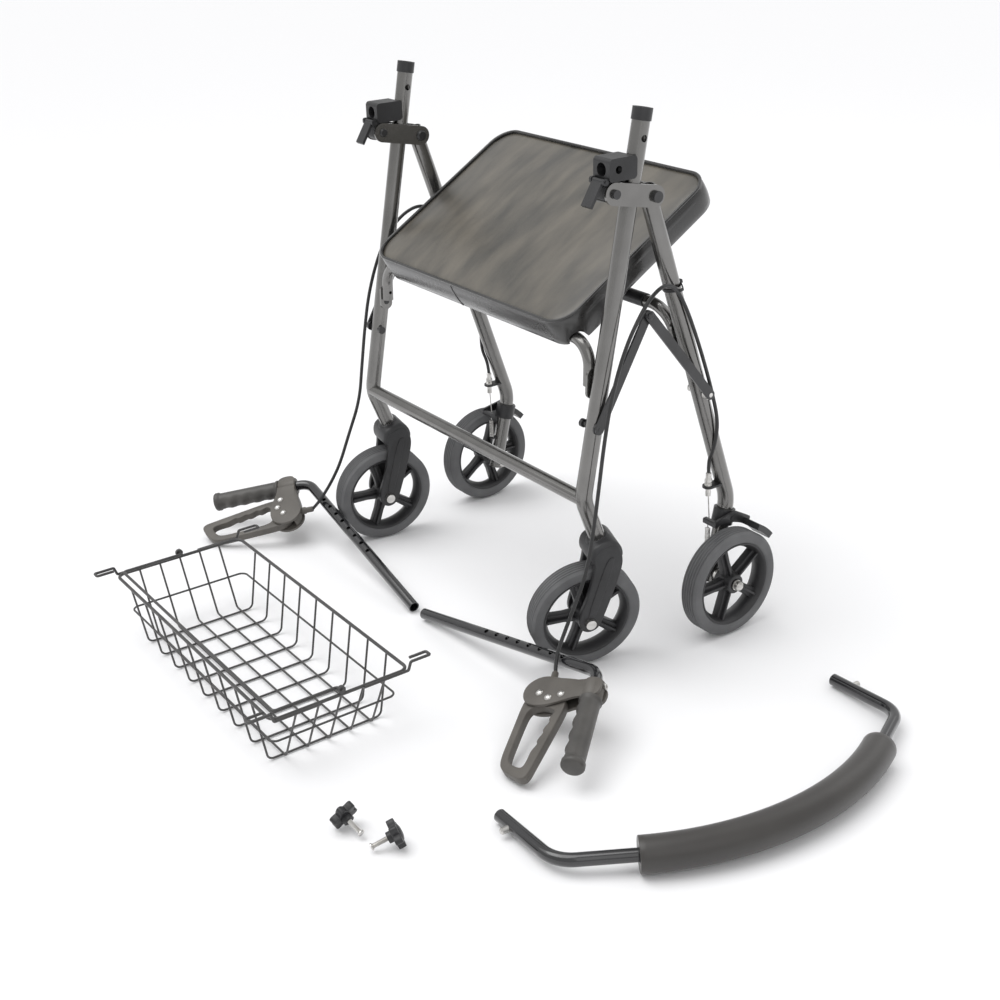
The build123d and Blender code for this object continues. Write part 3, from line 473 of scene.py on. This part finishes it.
# grips, levers and housings
alongX = Matrix(((0, 0, 1, 0), (0, 1, 0, 0), (-1, 0, 0, 0), (0, 0, 0, 1)))  # lathe height on x
leverSettings = {
    "outline": [(22, 64), (34, 44), (48, 33), (62, 32.5), (110, 43), (152, 52.5), (170, 56.5),
                (172, 64), (162, 80), (152, 93), (138, 97), (108, 95), (80, 93), (46, 91),
                (30, 86), (23, 76)],
    "slot": [(56, 52), (63, 41.5), (69, 41.5), (77, 47), (83, 43.5), (95, 51), (101, 48),
             (113, 55), (119, 51.5), (130, 58.5), (142, 59.5), (155, 62.5), (157, 69),
             (148, 84), (137, 90), (108, 88), (80, 86), (60, 83.5), (52, 78), (51, 64)],
    "thick": 12,
    "edge": 1.6,
    "knob": (163, 59),
}
housingSettings = {
    "outline": [(22, -15), (50, -15), (50, 4), (49, 20), (53, 36), (56.5, 54), (54, 74),
                (46, 87), (30, 93), (14, 89), (4, 72), (9, 52), (19, 32), (22, 10)],
    "plateMiddle": 9,
    "plateThick": 4,
    "rivets": ((34, 69), (45, 54.5), (42, 37.5)),
    "sideBolt": (29, -14, 0),
    "cableNose": (-3, 62, 0),
}


gripSettings = {
    "radius": 13.2,
    "hollowsFrom": 56,
    "hollowsTo": 150,
    "hollowDepth": 1.5,
    "hollowHalfPitch": 11,
    "hollowPhase": 62,
    "ribDepth": 0.25,
    "ribHalfPitch": 2,
    "fadeLength": 6,
}


def makeGrip(name, place, s):
    grip = bmesh.new()
    rings = [(s["radius"], x) for x in range(s["hollowsFrom"], s["hollowsTo"] + 1, 2)]
    outline = [(8, 50), (13.8, 50), (14.8, 50.8), (14.8, 53.4), (13.8, 54.6), *rings, (13.8, 152),
               (14.8, 153.4), (14.8, 158.6), (13.8, 160.2), (12, 161), (0, 161), (0, 154), (8, 154)]
    lathe(grip, outline, alongX, steps=72)
    for vert in grip.verts:  # finger hollows on the lever's side, fine ribs all round
        x = vert.co.x
        if s["hollowsFrom"] < x < s["hollowsTo"]:
            radius = math.hypot(vert.co.y, vert.co.z)
            facing = max(0.0, vert.co.y / radius) ** 2
            hollowTurn = (x - s["hollowPhase"]) * math.pi / s["hollowHalfPitch"]
            wave = s["hollowDepth"] * facing * math.sin(hollowTurn)
            rib = s["ribDepth"] * math.sin(x * math.pi / s["ribHalfPitch"]) * (1 - facing)
            fade = min(1.0, (x - s["hollowsFrom"]) / s["fadeLength"],
                       (s["hollowsTo"] - x) / s["fadeLength"])
            grow = 1 + (wave + rib) * fade / radius
            vert.co.y *= grow
            vert.co.z *= grow
    addPiece(f"grip_{name}", grip, place, materials["gripRubber"], "front_frame",
             [f"handle_grip_{name}"], sharp=50)


def makeLever(name, place, s):
    lever = bmesh.new()
    plate(lever, [s["outline"], s["slot"], circle(3.4, *handleSettings["leverPin"], 16)],
          s["thick"], s["edge"])
    knob = [(0, -4), (3.4, -4), (3.6, 4), (4.2, 6), (4.2, 8), (3, 9.4), (0, 9.4)]
    lathe(lever, knob, Matrix.Translation((*s["knob"], 0)) @ alongX, steps=24)
    addPiece(f"lever_{name}", lever, place, materials["housingPlastic"],
             f"brake_lever_{name}", [f"brake_lever_{name}"])


def makeHousing(name, place, s):
    housing = bmesh.new()
    for way in (1, -1):
        plate(housing, [s["outline"]], s["plateThick"], 0.8,
              Matrix.Translation((0, 0, way * s["plateMiddle"])))
    lathe(housing, [(8.05, 21), (12.4, 21), (13.6, 22), (13.6, 48.6), (12.8, 49.6),
                    (8.05, 49.6)], alongX, steps=48)
    spine = [(21, 14), (27, 14), (18, 46), (13, 70), (18, 82), (14, 85), (7.5, 73), (11, 46)]
    plate(housing, [spine], 20, 1.2)
    nose = [(2.7, -9), (3.6, -9), (4.4, -7.6), (4.4, 2), (5.6, 4), (5.6, 12), (2.7, 12)]
    lathe(housing, nose, Matrix.Translation(s["cableNose"]) @ alongX, steps=24)
    addPiece(f"housing_{name}", housing, place, materials["housingPlastic"],
             "front_frame", [f"brake_housing_{name}"])


def makeRivets(s):
    rivets = bmesh.new()
    for place in handlePlaces.values():
        unit = Matrix.Translation(place.translation) @ place.to_3x3().to_4x4()
        for x, y in s["rivets"]:
            for way in (1, -1):
                flip = Matrix.Rotation(0 if way > 0 else math.pi, 4, "X")
                head = Matrix.Translation((x, y, 0)) @ flip
                dome = [(0, 9), (5, 10.8), (4.9, 11.6), (4.2, 12.6), (2.8, 13.5), (0, 13.9)]
                lathe(rivets, dome, unit @ head, steps=24, closed=False)
        bolt = Matrix.Translation(s["sideBolt"]) @ Matrix.Rotation(math.pi / 2, 4, "X")
        lathe(rivets, [(0, 0), (4.6, 0), (4.6, 2.4), (3.6, 3.2), (2.2, 3.2), (2.2, 1.8), (0, 1.8)],
              unit @ bolt, steps=6)
    addPiece("housing_rivets", rivets, Matrix(), materials["zincSteel"],
             "front_frame", ["handle_rivets"])


for sideName, place in handlePlaces.items():
    makeGrip(sideName, place, gripSettings)
    makeLever(sideName, place, leverSettings)
    makeHousing(sideName, place, housingSettings)
makeRivets(housingSettings)
print("handles made")

# cable adjusters, bare wires and return springs at the rear brakes
fittingSettings = {
    "stop": (195, 210),
    "wireRadius": 0.8,
    "springLow": 118.5,
    "springHigh": 147,
    "springRadius": 3.2,
    "springWire": 0.6,
    "springBack": 2,
    "turns": 15,
    "stepsPerTurn": 12,
}


def makeFittings(s):
    fittings = bmesh.new()
    y, z = s["stop"]
    scale = Matrix.Scale(0.001, 4)
    for _, side in sides:
        foot = Matrix.Translation(at(side * halfWidth, y, z)) @ scale
        lathe(fittings, [(1.2, -14), (3.6, -14), (3.6, 1.5), (5.2, 1.5), (5.2, 3), (4.7, 3.6),
                         (5.2, 4.2), (4.7, 4.8), (5.2, 5.4), (4.7, 6), (5.2, 6.6), (5.2, 10),
                         (3.8, 12), (3.8, 19.4), (3.2, 20), (1.2, 20)], foot, steps=32)
        wire = [(1, 0, -10), (1, 1, -30), (2, 2, -47)]
        tube(fittings, wire, s["wireRadius"], foot, rounds=2)
        steps = s["turns"] * s["stepsPerTurn"]
        coil = []
        for i in range(steps + 1):
            turn = 2 * math.pi * i / s["stepsPerTurn"]
            rise = s["springLow"] - z + (s["springHigh"] - s["springLow"]) * i / steps
            coil.append((s["springRadius"] * math.cos(turn),
                         s["springBack"] + s["springRadius"] * math.sin(turn), rise))
        tube(fittings, coil, s["springWire"], foot, smooth=False, rounds=1)
        tail = [(0, s["springBack"], height) for height in (-63, -58, -52)]
        tube(fittings, tail, 0.7, foot, rounds=2)
    addPiece("brake_fittings", fittings, Matrix(), materials["zincSteel"],
             "rear_frame", ["cable_fittings"])


makeFittings(fittingSettings)

tieSettings = {
    "spot": (120, 504),
    "legLean": 19.08,
    "legRadius": 11.4,
    "cableRadius": 2.8,
    "cableOut": 15.9,
    "thick": 1.1,
    "width": 4,
}


def hullOutline(big, small, reach, count=10):
    # the loop drawn tight round a large and a small circle
    touch = math.acos((big - small) / reach)
    points = []
    for i in range(2 * count + 1):
        a = touch + (2 * math.pi - 2 * touch) * i / (2 * count)
        points.append((big * math.cos(a), big * math.sin(a)))
    for i in range(count + 1):
        a = -touch + 2 * touch * i / count
        points.append((reach + small * math.cos(a), small * math.sin(a)))
    return points


def makeTies(s):
    ties = bmesh.new()
    lean = math.radians(s["legLean"])
    for _, side in sides:
        place = placeOn(at(side * halfWidth, *s["spot"]), (side, 0, 0),
                        (0, -math.sin(lean), math.cos(lean)))
        outer = hullOutline(s["legRadius"] + s["thick"], s["cableRadius"] + s["thick"],
                            s["cableOut"])
        inner = hullOutline(s["legRadius"], s["cableRadius"], s["cableOut"])
        plate(ties, [outer, inner], s["width"], 0.2, place, smooth=False)
        block = [(-3, 11.6), (3, 11.6), (3, 15), (-3, 15)]
        plate(ties, [block], 5, 0.5, place, smooth=False)
    addPiece("cable_ties", ties, Matrix(), materials["blackPlastic"],
             "rear_frame")


makeTies(tieSettings)
print("brake fittings made")

# star knobs
knobSettings = {
    "places": {"right": ((421, -417), (-0.33, -0.944)), "left": ((355, -447), (0.979, 0.203))},
    "radius": 17,
    "thick": 12,
    "studLength": 26,
    "tipRadius": 4.5,
    "collarEnd": 11,
    "tipLength": 3,
    "lobes": 6,
    "lobeDepth": 2.8,
    "starMiddle": 13.8,
    "starPoints": 72,
}


def makeKnob(name, s):
    spot, way = s["places"][name]
    dip = math.atan2(s["radius"] - s["tipRadius"], s["studLength"] + s["thick"] / 2)
    out = (way[0] * math.cos(dip), way[1] * math.cos(dip), -math.sin(dip))
    height = s["radius"] * math.cos(dip) + s["thick"] / 2 * math.sin(dip) + 0.3
    place = placeOn(at(*spot, height), Vector(out).cross(Vector((0, 0, 1))), out)
    head = bmesh.new()
    lobes = []
    for i in range(s["starPoints"]):
        a = 2 * math.pi * i / s["starPoints"]
        radius = s["starMiddle"] + s["lobeDepth"] * math.cos(s["lobes"] * a)
        lobes.append((radius * math.cos(a), radius * math.sin(a)))
    plate(head, [lobes], s["thick"] - 3, 1.0, Matrix.Translation((0, 0, 0.5)))
    lathe(head, [(0, -6.8), (5, -6.4), (9, -5.2), (12, -3.2), (0, -3.2)], steps=36)
    lathe(head, [(3, 4), (7, 4), (6.6, 11), (3, 11)], steps=36)
    addPiece(f"knob_{name}_star", head, place, materials["blackPlastic"],
             f"knob_{name}", [f"knob_head_{name}"])
    stud = bmesh.new()
    end = s["thick"] / 2 + s["studLength"]
    thread = []
    for height in range(s["collarEnd"], int(end - s["tipLength"])):
        thread += [(2.5, height), (3, height + 0.5)]
    lathe(stud, [(0, -2), (2.9, -2), (2.9, 10.6), *thread, (2.5, end - 3), (3.6, end - 2.6),
                 (4.4, end - 1.8), (4.5, end - 0.6), (3.9, end), (0, end)], steps=28)
    addPiece(f"knob_{name}_screw", stud, place, materials["zincSteel"],
             f"knob_{name}", [f"knob_stud_{name}"])


for sideName in knobSettings["places"]:
    makeKnob(sideName, knobSettings)

# backrest foam, a tube of foam bent to an arc
foamSettings = {
    "middle": (469, -43),
    "turn": -3.5,
    "arm": 112,
    "half": 178,
    "radius": 21,
    "slimRadius": 7.95,
    "endAngle": 30,
    "ringCount": 64,
    "stepCount": 56,
    "endRings": ((20.6, 0.6), (19.6, 0.9), (9.4, 0), (8.3, -4)),
}


def makeFoam(s):
    turn, slope = math.radians(s["turn"]), math.radians(s["endAngle"])
    foamStart = s["arm"] + (halfWidth - s["half"]) * math.tan(slope)
    lift = math.asin((s["radius"] - s["slimRadius"]) / foamStart)
    out = Vector((math.cos(turn) * math.cos(lift), math.sin(turn) * math.cos(lift),
                  math.sin(lift)))
    across = Vector((-math.sin(turn), math.cos(turn), 0))
    place = placeOn(at(*s["middle"], s["slimRadius"] + 0.1), out, out.cross(across))
    arc = s["half"] / math.sin(slope)
    centreX = foamStart - arc * math.cos(slope)
    foam = bmesh.new()
    start = Matrix.Translation((arc, 0, 0)) @ Matrix.Rotation(math.pi / 2, 4, "X")
    bmesh.ops.create_circle(foam, cap_ends=False, segments=s["ringCount"], radius=s["radius"],
                            matrix=start)
    bmesh.ops.rotate(foam, verts=foam.verts[:], cent=(0, 0, 0),
                     matrix=Matrix.Rotation(-slope, 3, "Z"))
    bmesh.ops.spin(foam, geom=foam.verts[:] + foam.edges[:], cent=(0, 0, 0), axis=(0, 0, 1),
                   angle=2 * slope, steps=s["stepCount"], use_merge=False, use_duplicate=False)
    for way in (-1, 1):  # close each end with a soft edge and a flat face round the tube
        middle = Vector((arc * math.cos(slope), way * arc * math.sin(slope), 0))
        outWay = Vector((-math.sin(slope), way * math.cos(slope), 0))
        loop = [e for e in foam.edges if e.is_boundary
                and all((v.co - middle).length < s["radius"] + 1 for v in e.verts)]
        for radius, ahead in s["endRings"]:
            made = bmesh.ops.extrude_edge_only(foam, edges=loop)["geom"]
            loop = [e for e in made if isinstance(e, bmesh.types.BMEdge) and e.is_boundary]
            ring = {v for e in loop for v in e.verts}
            for vert in ring:
                offset = vert.co - middle
                offset -= outWay * offset.dot(outWay)
                vert.co = middle + offset.normalized() * radius + outWay * ahead
    bmesh.ops.recalc_face_normals(foam, faces=foam.faces[:])
    bmesh.ops.translate(foam, verts=foam.verts[:], vec=(centreX, 0, 0))
    foamPiece = addPiece("backrest_pad", foam, place, materials["backFoam"], "backrest",
                         ["backrest_foam"], sharp=50)


makeFoam(foamSettings)
print("backrest foam made")

# seat cushion: a sewn slab blown up by cloth, held at its base and at its welt
seatSettings = {
    "hinge": (0, 5, 450),
    "tilt": 31.5,
    "half": 220,
    "front": -14,
    "rear": 266,
    "slabGrow": 3.5,
    "corner": 32,
    "low": 14.8,
    "weltHeight": 36,
    "weltRadius": 2.2,
    "voxel": 6.5,
    "pressure": 4.0,
    "frames": 20,
    "topRise": 7.0,
    "sideBulge": 4.0,
    "seamX": -22,
    "seamRadius": 0.8,
    "clipPlaces": (150, -150),
    "clipRadius": 10.4,
    "clipBore": 8.07,
    "clipWidth": 24,
    "skirtLow": -5.0,
    "rearLift": 7.0,
    "liftFrom": 30,
    "liftOver": 60,
    "railClear": 9.4,
    "boxing": [(-1.2, -4), (0.4, -5), (1.6, -3.5), (2.6, 5), (3.1, 12), (3.1, 20), (2.8, 27),
               (2.0, 33), (0.4, 36), (-1.6, 35), (-0.4, 28), (0.2, 20), (0, 10)],
}


def roundedLoop(s, grow=0.0, count=9):
    half, corner = s["half"] + grow, s["corner"] + grow
    low, high = s["front"] - grow, s["rear"] + grow
    centres = [(half - corner, high - corner, 0), (corner - half, high - corner, 1),
               (corner - half, low + corner, 2), (half - corner, low + corner, 3)]
    points = []
    for x, y, quarter in centres:
        for i in range(count):
            a = math.pi / 2 * (quarter + i / (count - 1))
            points.append((x + corner * math.cos(a), y + corner * math.sin(a)))
    return points


def fineLoop(s, grow, step=3.0):
    loop = roundedLoop(s, grow, 17)
    points = []
    for here, after in zip(loop, loop[1:] + loop[:1]):
        count = max(1, round(math.dist(here, after) / step))
        for i in range(count):
            points.append((here[0] + (after[0] - here[0]) * i / count,
                           here[1] + (after[1] - here[1]) * i / count))
    return points


def outsideLoop(x, y, s):
    # how far a point lies outside the seat's rounded outline; inside is negative
    middle = (s["front"] + s["rear"]) / 2
    halfLong = (s["rear"] - s["front"]) / 2
    overX = abs(x) - (s["half"] - s["corner"])
    overY = abs(y - middle) - (halfLong - s["corner"])
    outside = math.hypot(max(overX, 0), max(overY, 0))
    return outside + min(max(overX, overY), 0) - s["corner"]


def evenSlab(s):
    # the slab the cover is sewn to, as one even mesh in metres
    bm = bmesh.new()
    bottom = [bm.verts.new((x, y, s["low"])) for x, y in roundedLoop(s, s["slabGrow"])]
    base = bm.faces.new(bottom)
    top = bmesh.ops.extrude_face_region(bm, geom=[base])["geom"]
    bmesh.ops.translate(bm, verts=[v for v in top if isinstance(v, bmesh.types.BMVert)],
                        vec=(0, 0, s["weltHeight"] - s["low"]))
    bmesh.ops.recalc_face_normals(bm, faces=bm.faces[:])
    mesh = bpy.data.meshes.new("seat_pad")
    bm.to_mesh(mesh)
    bm.free()
    mesh.transform(Matrix.Scale(0.001, 4))
    pad = bpy.data.objects.new("seat_pad", mesh)
    bpy.context.scene.collection.objects.link(pad)
    remesh = pad.modifiers.new("even", "REMESH")
    remesh.mode = "VOXEL"
    remesh.voxel_size = s["voxel"] * 0.001
    bpy.context.view_layer.update()
    evaluated = pad.evaluated_get(bpy.context.evaluated_depsgraph_get())
    even = bpy.data.meshes.new_from_object(evaluated)
    pad.modifiers.clear()
    pad.data = even
    return pad


def blownUp(pad, rest, s):
    # every point's place after the cloth has settled, in millimetres
    held = pad.vertex_groups.new(name="held")
    edge = s["voxel"] * 0.8
    for i, spot in enumerate(rest):
        onWelt = (outsideLoop(spot.x, spot.y, s) > s["slabGrow"] - edge
                  and spot.z > s["weltHeight"] - edge)
        if spot.z < s["low"] + 2 or onWelt:
            held.add([i], 1.0, "REPLACE")
    cloth = pad.modifiers.new("blow", "CLOTH")
    cloth.settings.quality = 6
    cloth.settings.mass = 0.3
    cloth.settings.tension_stiffness = 12
    cloth.settings.compression_stiffness = 12
    cloth.settings.bending_stiffness = 0.6
    cloth.settings.use_pressure = True
    cloth.settings.uniform_pressure_force = s["pressure"]
    cloth.settings.effector_weights.gravity = 0
    cloth.settings.vertex_group_mass = "held"
    cloth.collision_settings.use_self_collision = False
    cloth.point_cache.frame_end = s["frames"]
    for number in range(1, s["frames"] + 1):
        bpy.context.scene.frame_set(number)
    evaluated = pad.evaluated_get(bpy.context.evaluated_depsgraph_get())
    blown = bpy.data.meshes.new_from_object(evaluated)
    pad.modifiers.clear()
    bpy.context.scene.frame_set(1)
    return [v.co.copy() * 1000 for v in blown.vertices]


def makePad(place, s):
    pad = evenSlab(s)
    even = pad.data
    rest = [v.co.copy() * 1000 for v in even.vertices]
    for vert, was, now in zip(even.vertices, rest, blownUp(pad, rest, s)):
        shift = now - was
        rise = max(0.0, min(shift.z, s["topRise"]))
        flat = Vector((shift.x, shift.y, 0))
        if flat.length > s["sideBulge"]:
            flat *= s["sideBulge"] / flat.length
        vert.co = (was + flat + Vector((0, 0, rise))) * 0.001
    soft = bmesh.new()
    soft.from_mesh(even)
    free = [v for v in soft.verts if s["low"] + 1 < v.co.z * 1000]
    for _ in range(2):
        bmesh.ops.smooth_vert(soft, verts=free, factor=0.5, use_axis_x=True, use_axis_y=True,
                              use_axis_z=True)
    soft.to_mesh(even)
    soft.free()
    even.transform(place @ Matrix.Scale(1000, 4))
    # faces turned up take the lighter copy of the vinyl as painted light, the rest take the darker
    # copy as painted shade
    even.materials.clear()
    even.materials.append(materials["seatSideVinylPaintedShade"])
    even.materials.append(materials["seatTopVinylPaintedLight"])
    faceUp = place.to_3x3().col[2].normalized()
    for face in even.polygons:
        face.material_index = 1 if face.normal.dot(faceUp) > 0.72 else 0
    even.shade_smooth()
    subdivide = pad.modifiers.new("round", "SUBSURF")
    subdivide.levels = 1
    subdivide.render_levels = 1
    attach(pad, "seat")
    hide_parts("seat_cushion")


def makeBoxing(place, s):
    # the boxing hangs below the board and is cut round the rail it turns on
    boxing = bmesh.new()
    rings = []
    for grow, height in s["boxing"]:
        ring = []
        for x, y in fineLoop(s, grow):
            lift = s["rearLift"] * min(1.0, max(0.0, (y - s["liftFrom"]) / s["liftOver"]))
            if abs(x) > s["half"] - s["corner"] and abs(y) < s["railClear"]:
                lift = math.sqrt(s["railClear"] ** 2 - y * y) - s["skirtLow"]
            lift *= (s["weltHeight"] - height) / (s["weltHeight"] - s["skirtLow"])
            ring.append(boxing.verts.new((x, y, height + lift)))
        rings.append(ring)
    for ring, after in zip(rings, rings[1:] + rings[:1]):
        for i in range(len(ring)):
            j = (i + 1) % len(ring)
            boxing.faces.new((ring[i], ring[j], after[j], after[i]))
    bmesh.ops.recalc_face_normals(boxing, faces=boxing.faces[:])
    seam = [(s["seamX"], s["front"] - grow, height) for grow, height in s["boxing"]
            if grow > 0.5 and height > s["skirtLow"]]
    tube(boxing, seam, s["seamRadius"], smooth=False, rounds=2)
    welt = [(x, y, s["weltHeight"] + 0.6) for x, y in fineLoop(s, 0.6)]
    tube(boxing, welt, s["weltRadius"], cyclic=True, smooth=False)
    # the boxing takes the darker copy of the seat vinyl, which is painted shade
    addPiece("seat_boxing", boxing, place, materials["seatSideVinylPaintedShade"], "seat")


def makeClips(s):
    # two saddles hold the board to the rail that it turns on
    clips = bmesh.new()
    tilt = math.radians(s["tilt"])
    arc = [math.radians(a) for a in range(200, 401, 10)]
    saddle = [(22, 5.4), (22, 8.3), (-9.4, 8.3)]
    saddle += [(s["clipRadius"] * math.cos(a), s["clipRadius"] * math.sin(a)) for a in arc]
    for x in s["clipPlaces"]:
        place = placeOn(at(x, *s["hinge"][1:]), (0, math.cos(tilt), math.sin(tilt)), (1, 0, 0))
        plate(clips, [saddle, circle(s["clipBore"])], s["clipWidth"], 0.5, place, smooth=False)
    addPiece("seat_clips", clips, Matrix(), materials["blackPlastic"], "seat",
             ["seat_straps"])


seatTilt = math.radians(seatSettings["tilt"])
seatPlace = placeOn(at(*seatSettings["hinge"]), (1, 0, 0),
                    (0, -math.sin(seatTilt), math.cos(seatTilt)))
makePad(seatPlace, seatSettings)
makeBoxing(seatPlace, seatSettings)
makeClips(seatSettings)
print("seat made")

# the CAD pieces that stay get their finishes
finishes = {
    "framePaint": ["front_tube_right", "front_tube_left", "front_crossbar", "hinge_plates",
                   "front_seat_rail", "rear_seat_rail", "rear_leg_right", "rear_leg_left"],
    "glossBlack": ["handle_tube_right", "handle_tube_left", "backrest_tube"],
    "blackPaint": ["frame_bolts", "brake_arm_right", "brake_arm_left", "brace_front_right",
                   "brace_front_left", "brace_rear_right", "brace_rear_left"],
    "blackPlastic": ["tube_bushes", "backrest_clips", "latch_lever_right", "latch_lever_left",
                     "rail_sleeve", "brake_brackets"],
    "zincSteel": ["rear_fasteners", "caster_hardware_right", "caster_hardware_left",
                  "backrest_button_near", "backrest_button_far"],
    "boardFace": ["seat_board"],
    "basketDip": ["basket_rim", "basket_handle", "basket_wires"],
}
for finish, names in finishes.items():
    for name in names:
        for holder in nodes[name].material_slots:
            holder.material = materials[finish]
print("finishes given")

# floor, light and air
studioSettings = {
    "floor": (0.9, 0.9, 0.91),
    "floorSize": 30,
    "world": 0.7,
    "lamps": {"key": (14, (-1.2, -1.6, 2.6), 2.2), "fill": (8, (2.4, -0.6, 1.8), 2.0),
              "rim": (10, (0.4, 2.4, 2.2), 2.0)},
    "aim": (0, 0, 0.25),
    "sun": 1.3,
    "sunAngle": 50,
    "sunWay": (0.35, 0.45, -1.5),
}


def turned(way):
    return Vector(way).to_track_quat("-Z", "Y").to_matrix().to_4x4()


def makeStudio(s):
    scene = bpy.context.scene
    scene.view_settings.view_transform = "Standard"
    world = bpy.data.worlds.new("studio")
    scene.world = world
    world.use_nodes = True
    sky = world.node_tree.nodes["Background"]
    sky.inputs["Color"].default_value = (1, 1, 1, 1)
    sky.inputs["Strength"].default_value = s["world"]
    bm = bmesh.new()
    bmesh.ops.create_grid(bm, x_segments=1, y_segments=1, size=s["floorSize"])
    mesh = bpy.data.meshes.new("floor")
    bm.to_mesh(mesh)
    bm.free()
    floor = bpy.data.objects.new("floor", mesh)
    floor.location.z = -0.001
    scene.collection.objects.link(floor)
    paper = bpy.data.materials.new("paper")
    paper.use_nodes = True
    shader = paper.node_tree.nodes["Principled BSDF"]
    shader.inputs["Base Color"].default_value = (*s["floor"], 1)
    shader.inputs["Roughness"].default_value = 0.9
    mesh.materials.append(paper)
    for name, (energy, spot, size) in s["lamps"].items():
        lamp = bpy.data.objects.new(name, bpy.data.lights.new(name, "AREA"))
        lamp.data.energy = energy
        lamp.data.size = size
        lamp.matrix_world = Matrix.Translation(spot) @ turned(Vector(s["aim"]) - Vector(spot))
        scene.collection.objects.link(lamp)
    sun = bpy.data.objects.new("sun", bpy.data.lights.new("sun", "SUN"))
    sun.data.energy = s["sun"]
    sun.data.angle = math.radians(s["sunAngle"])
    sun.matrix_world = turned(s["sunWay"])
    scene.collection.objects.link(sun)


makeStudio(studioSettings)
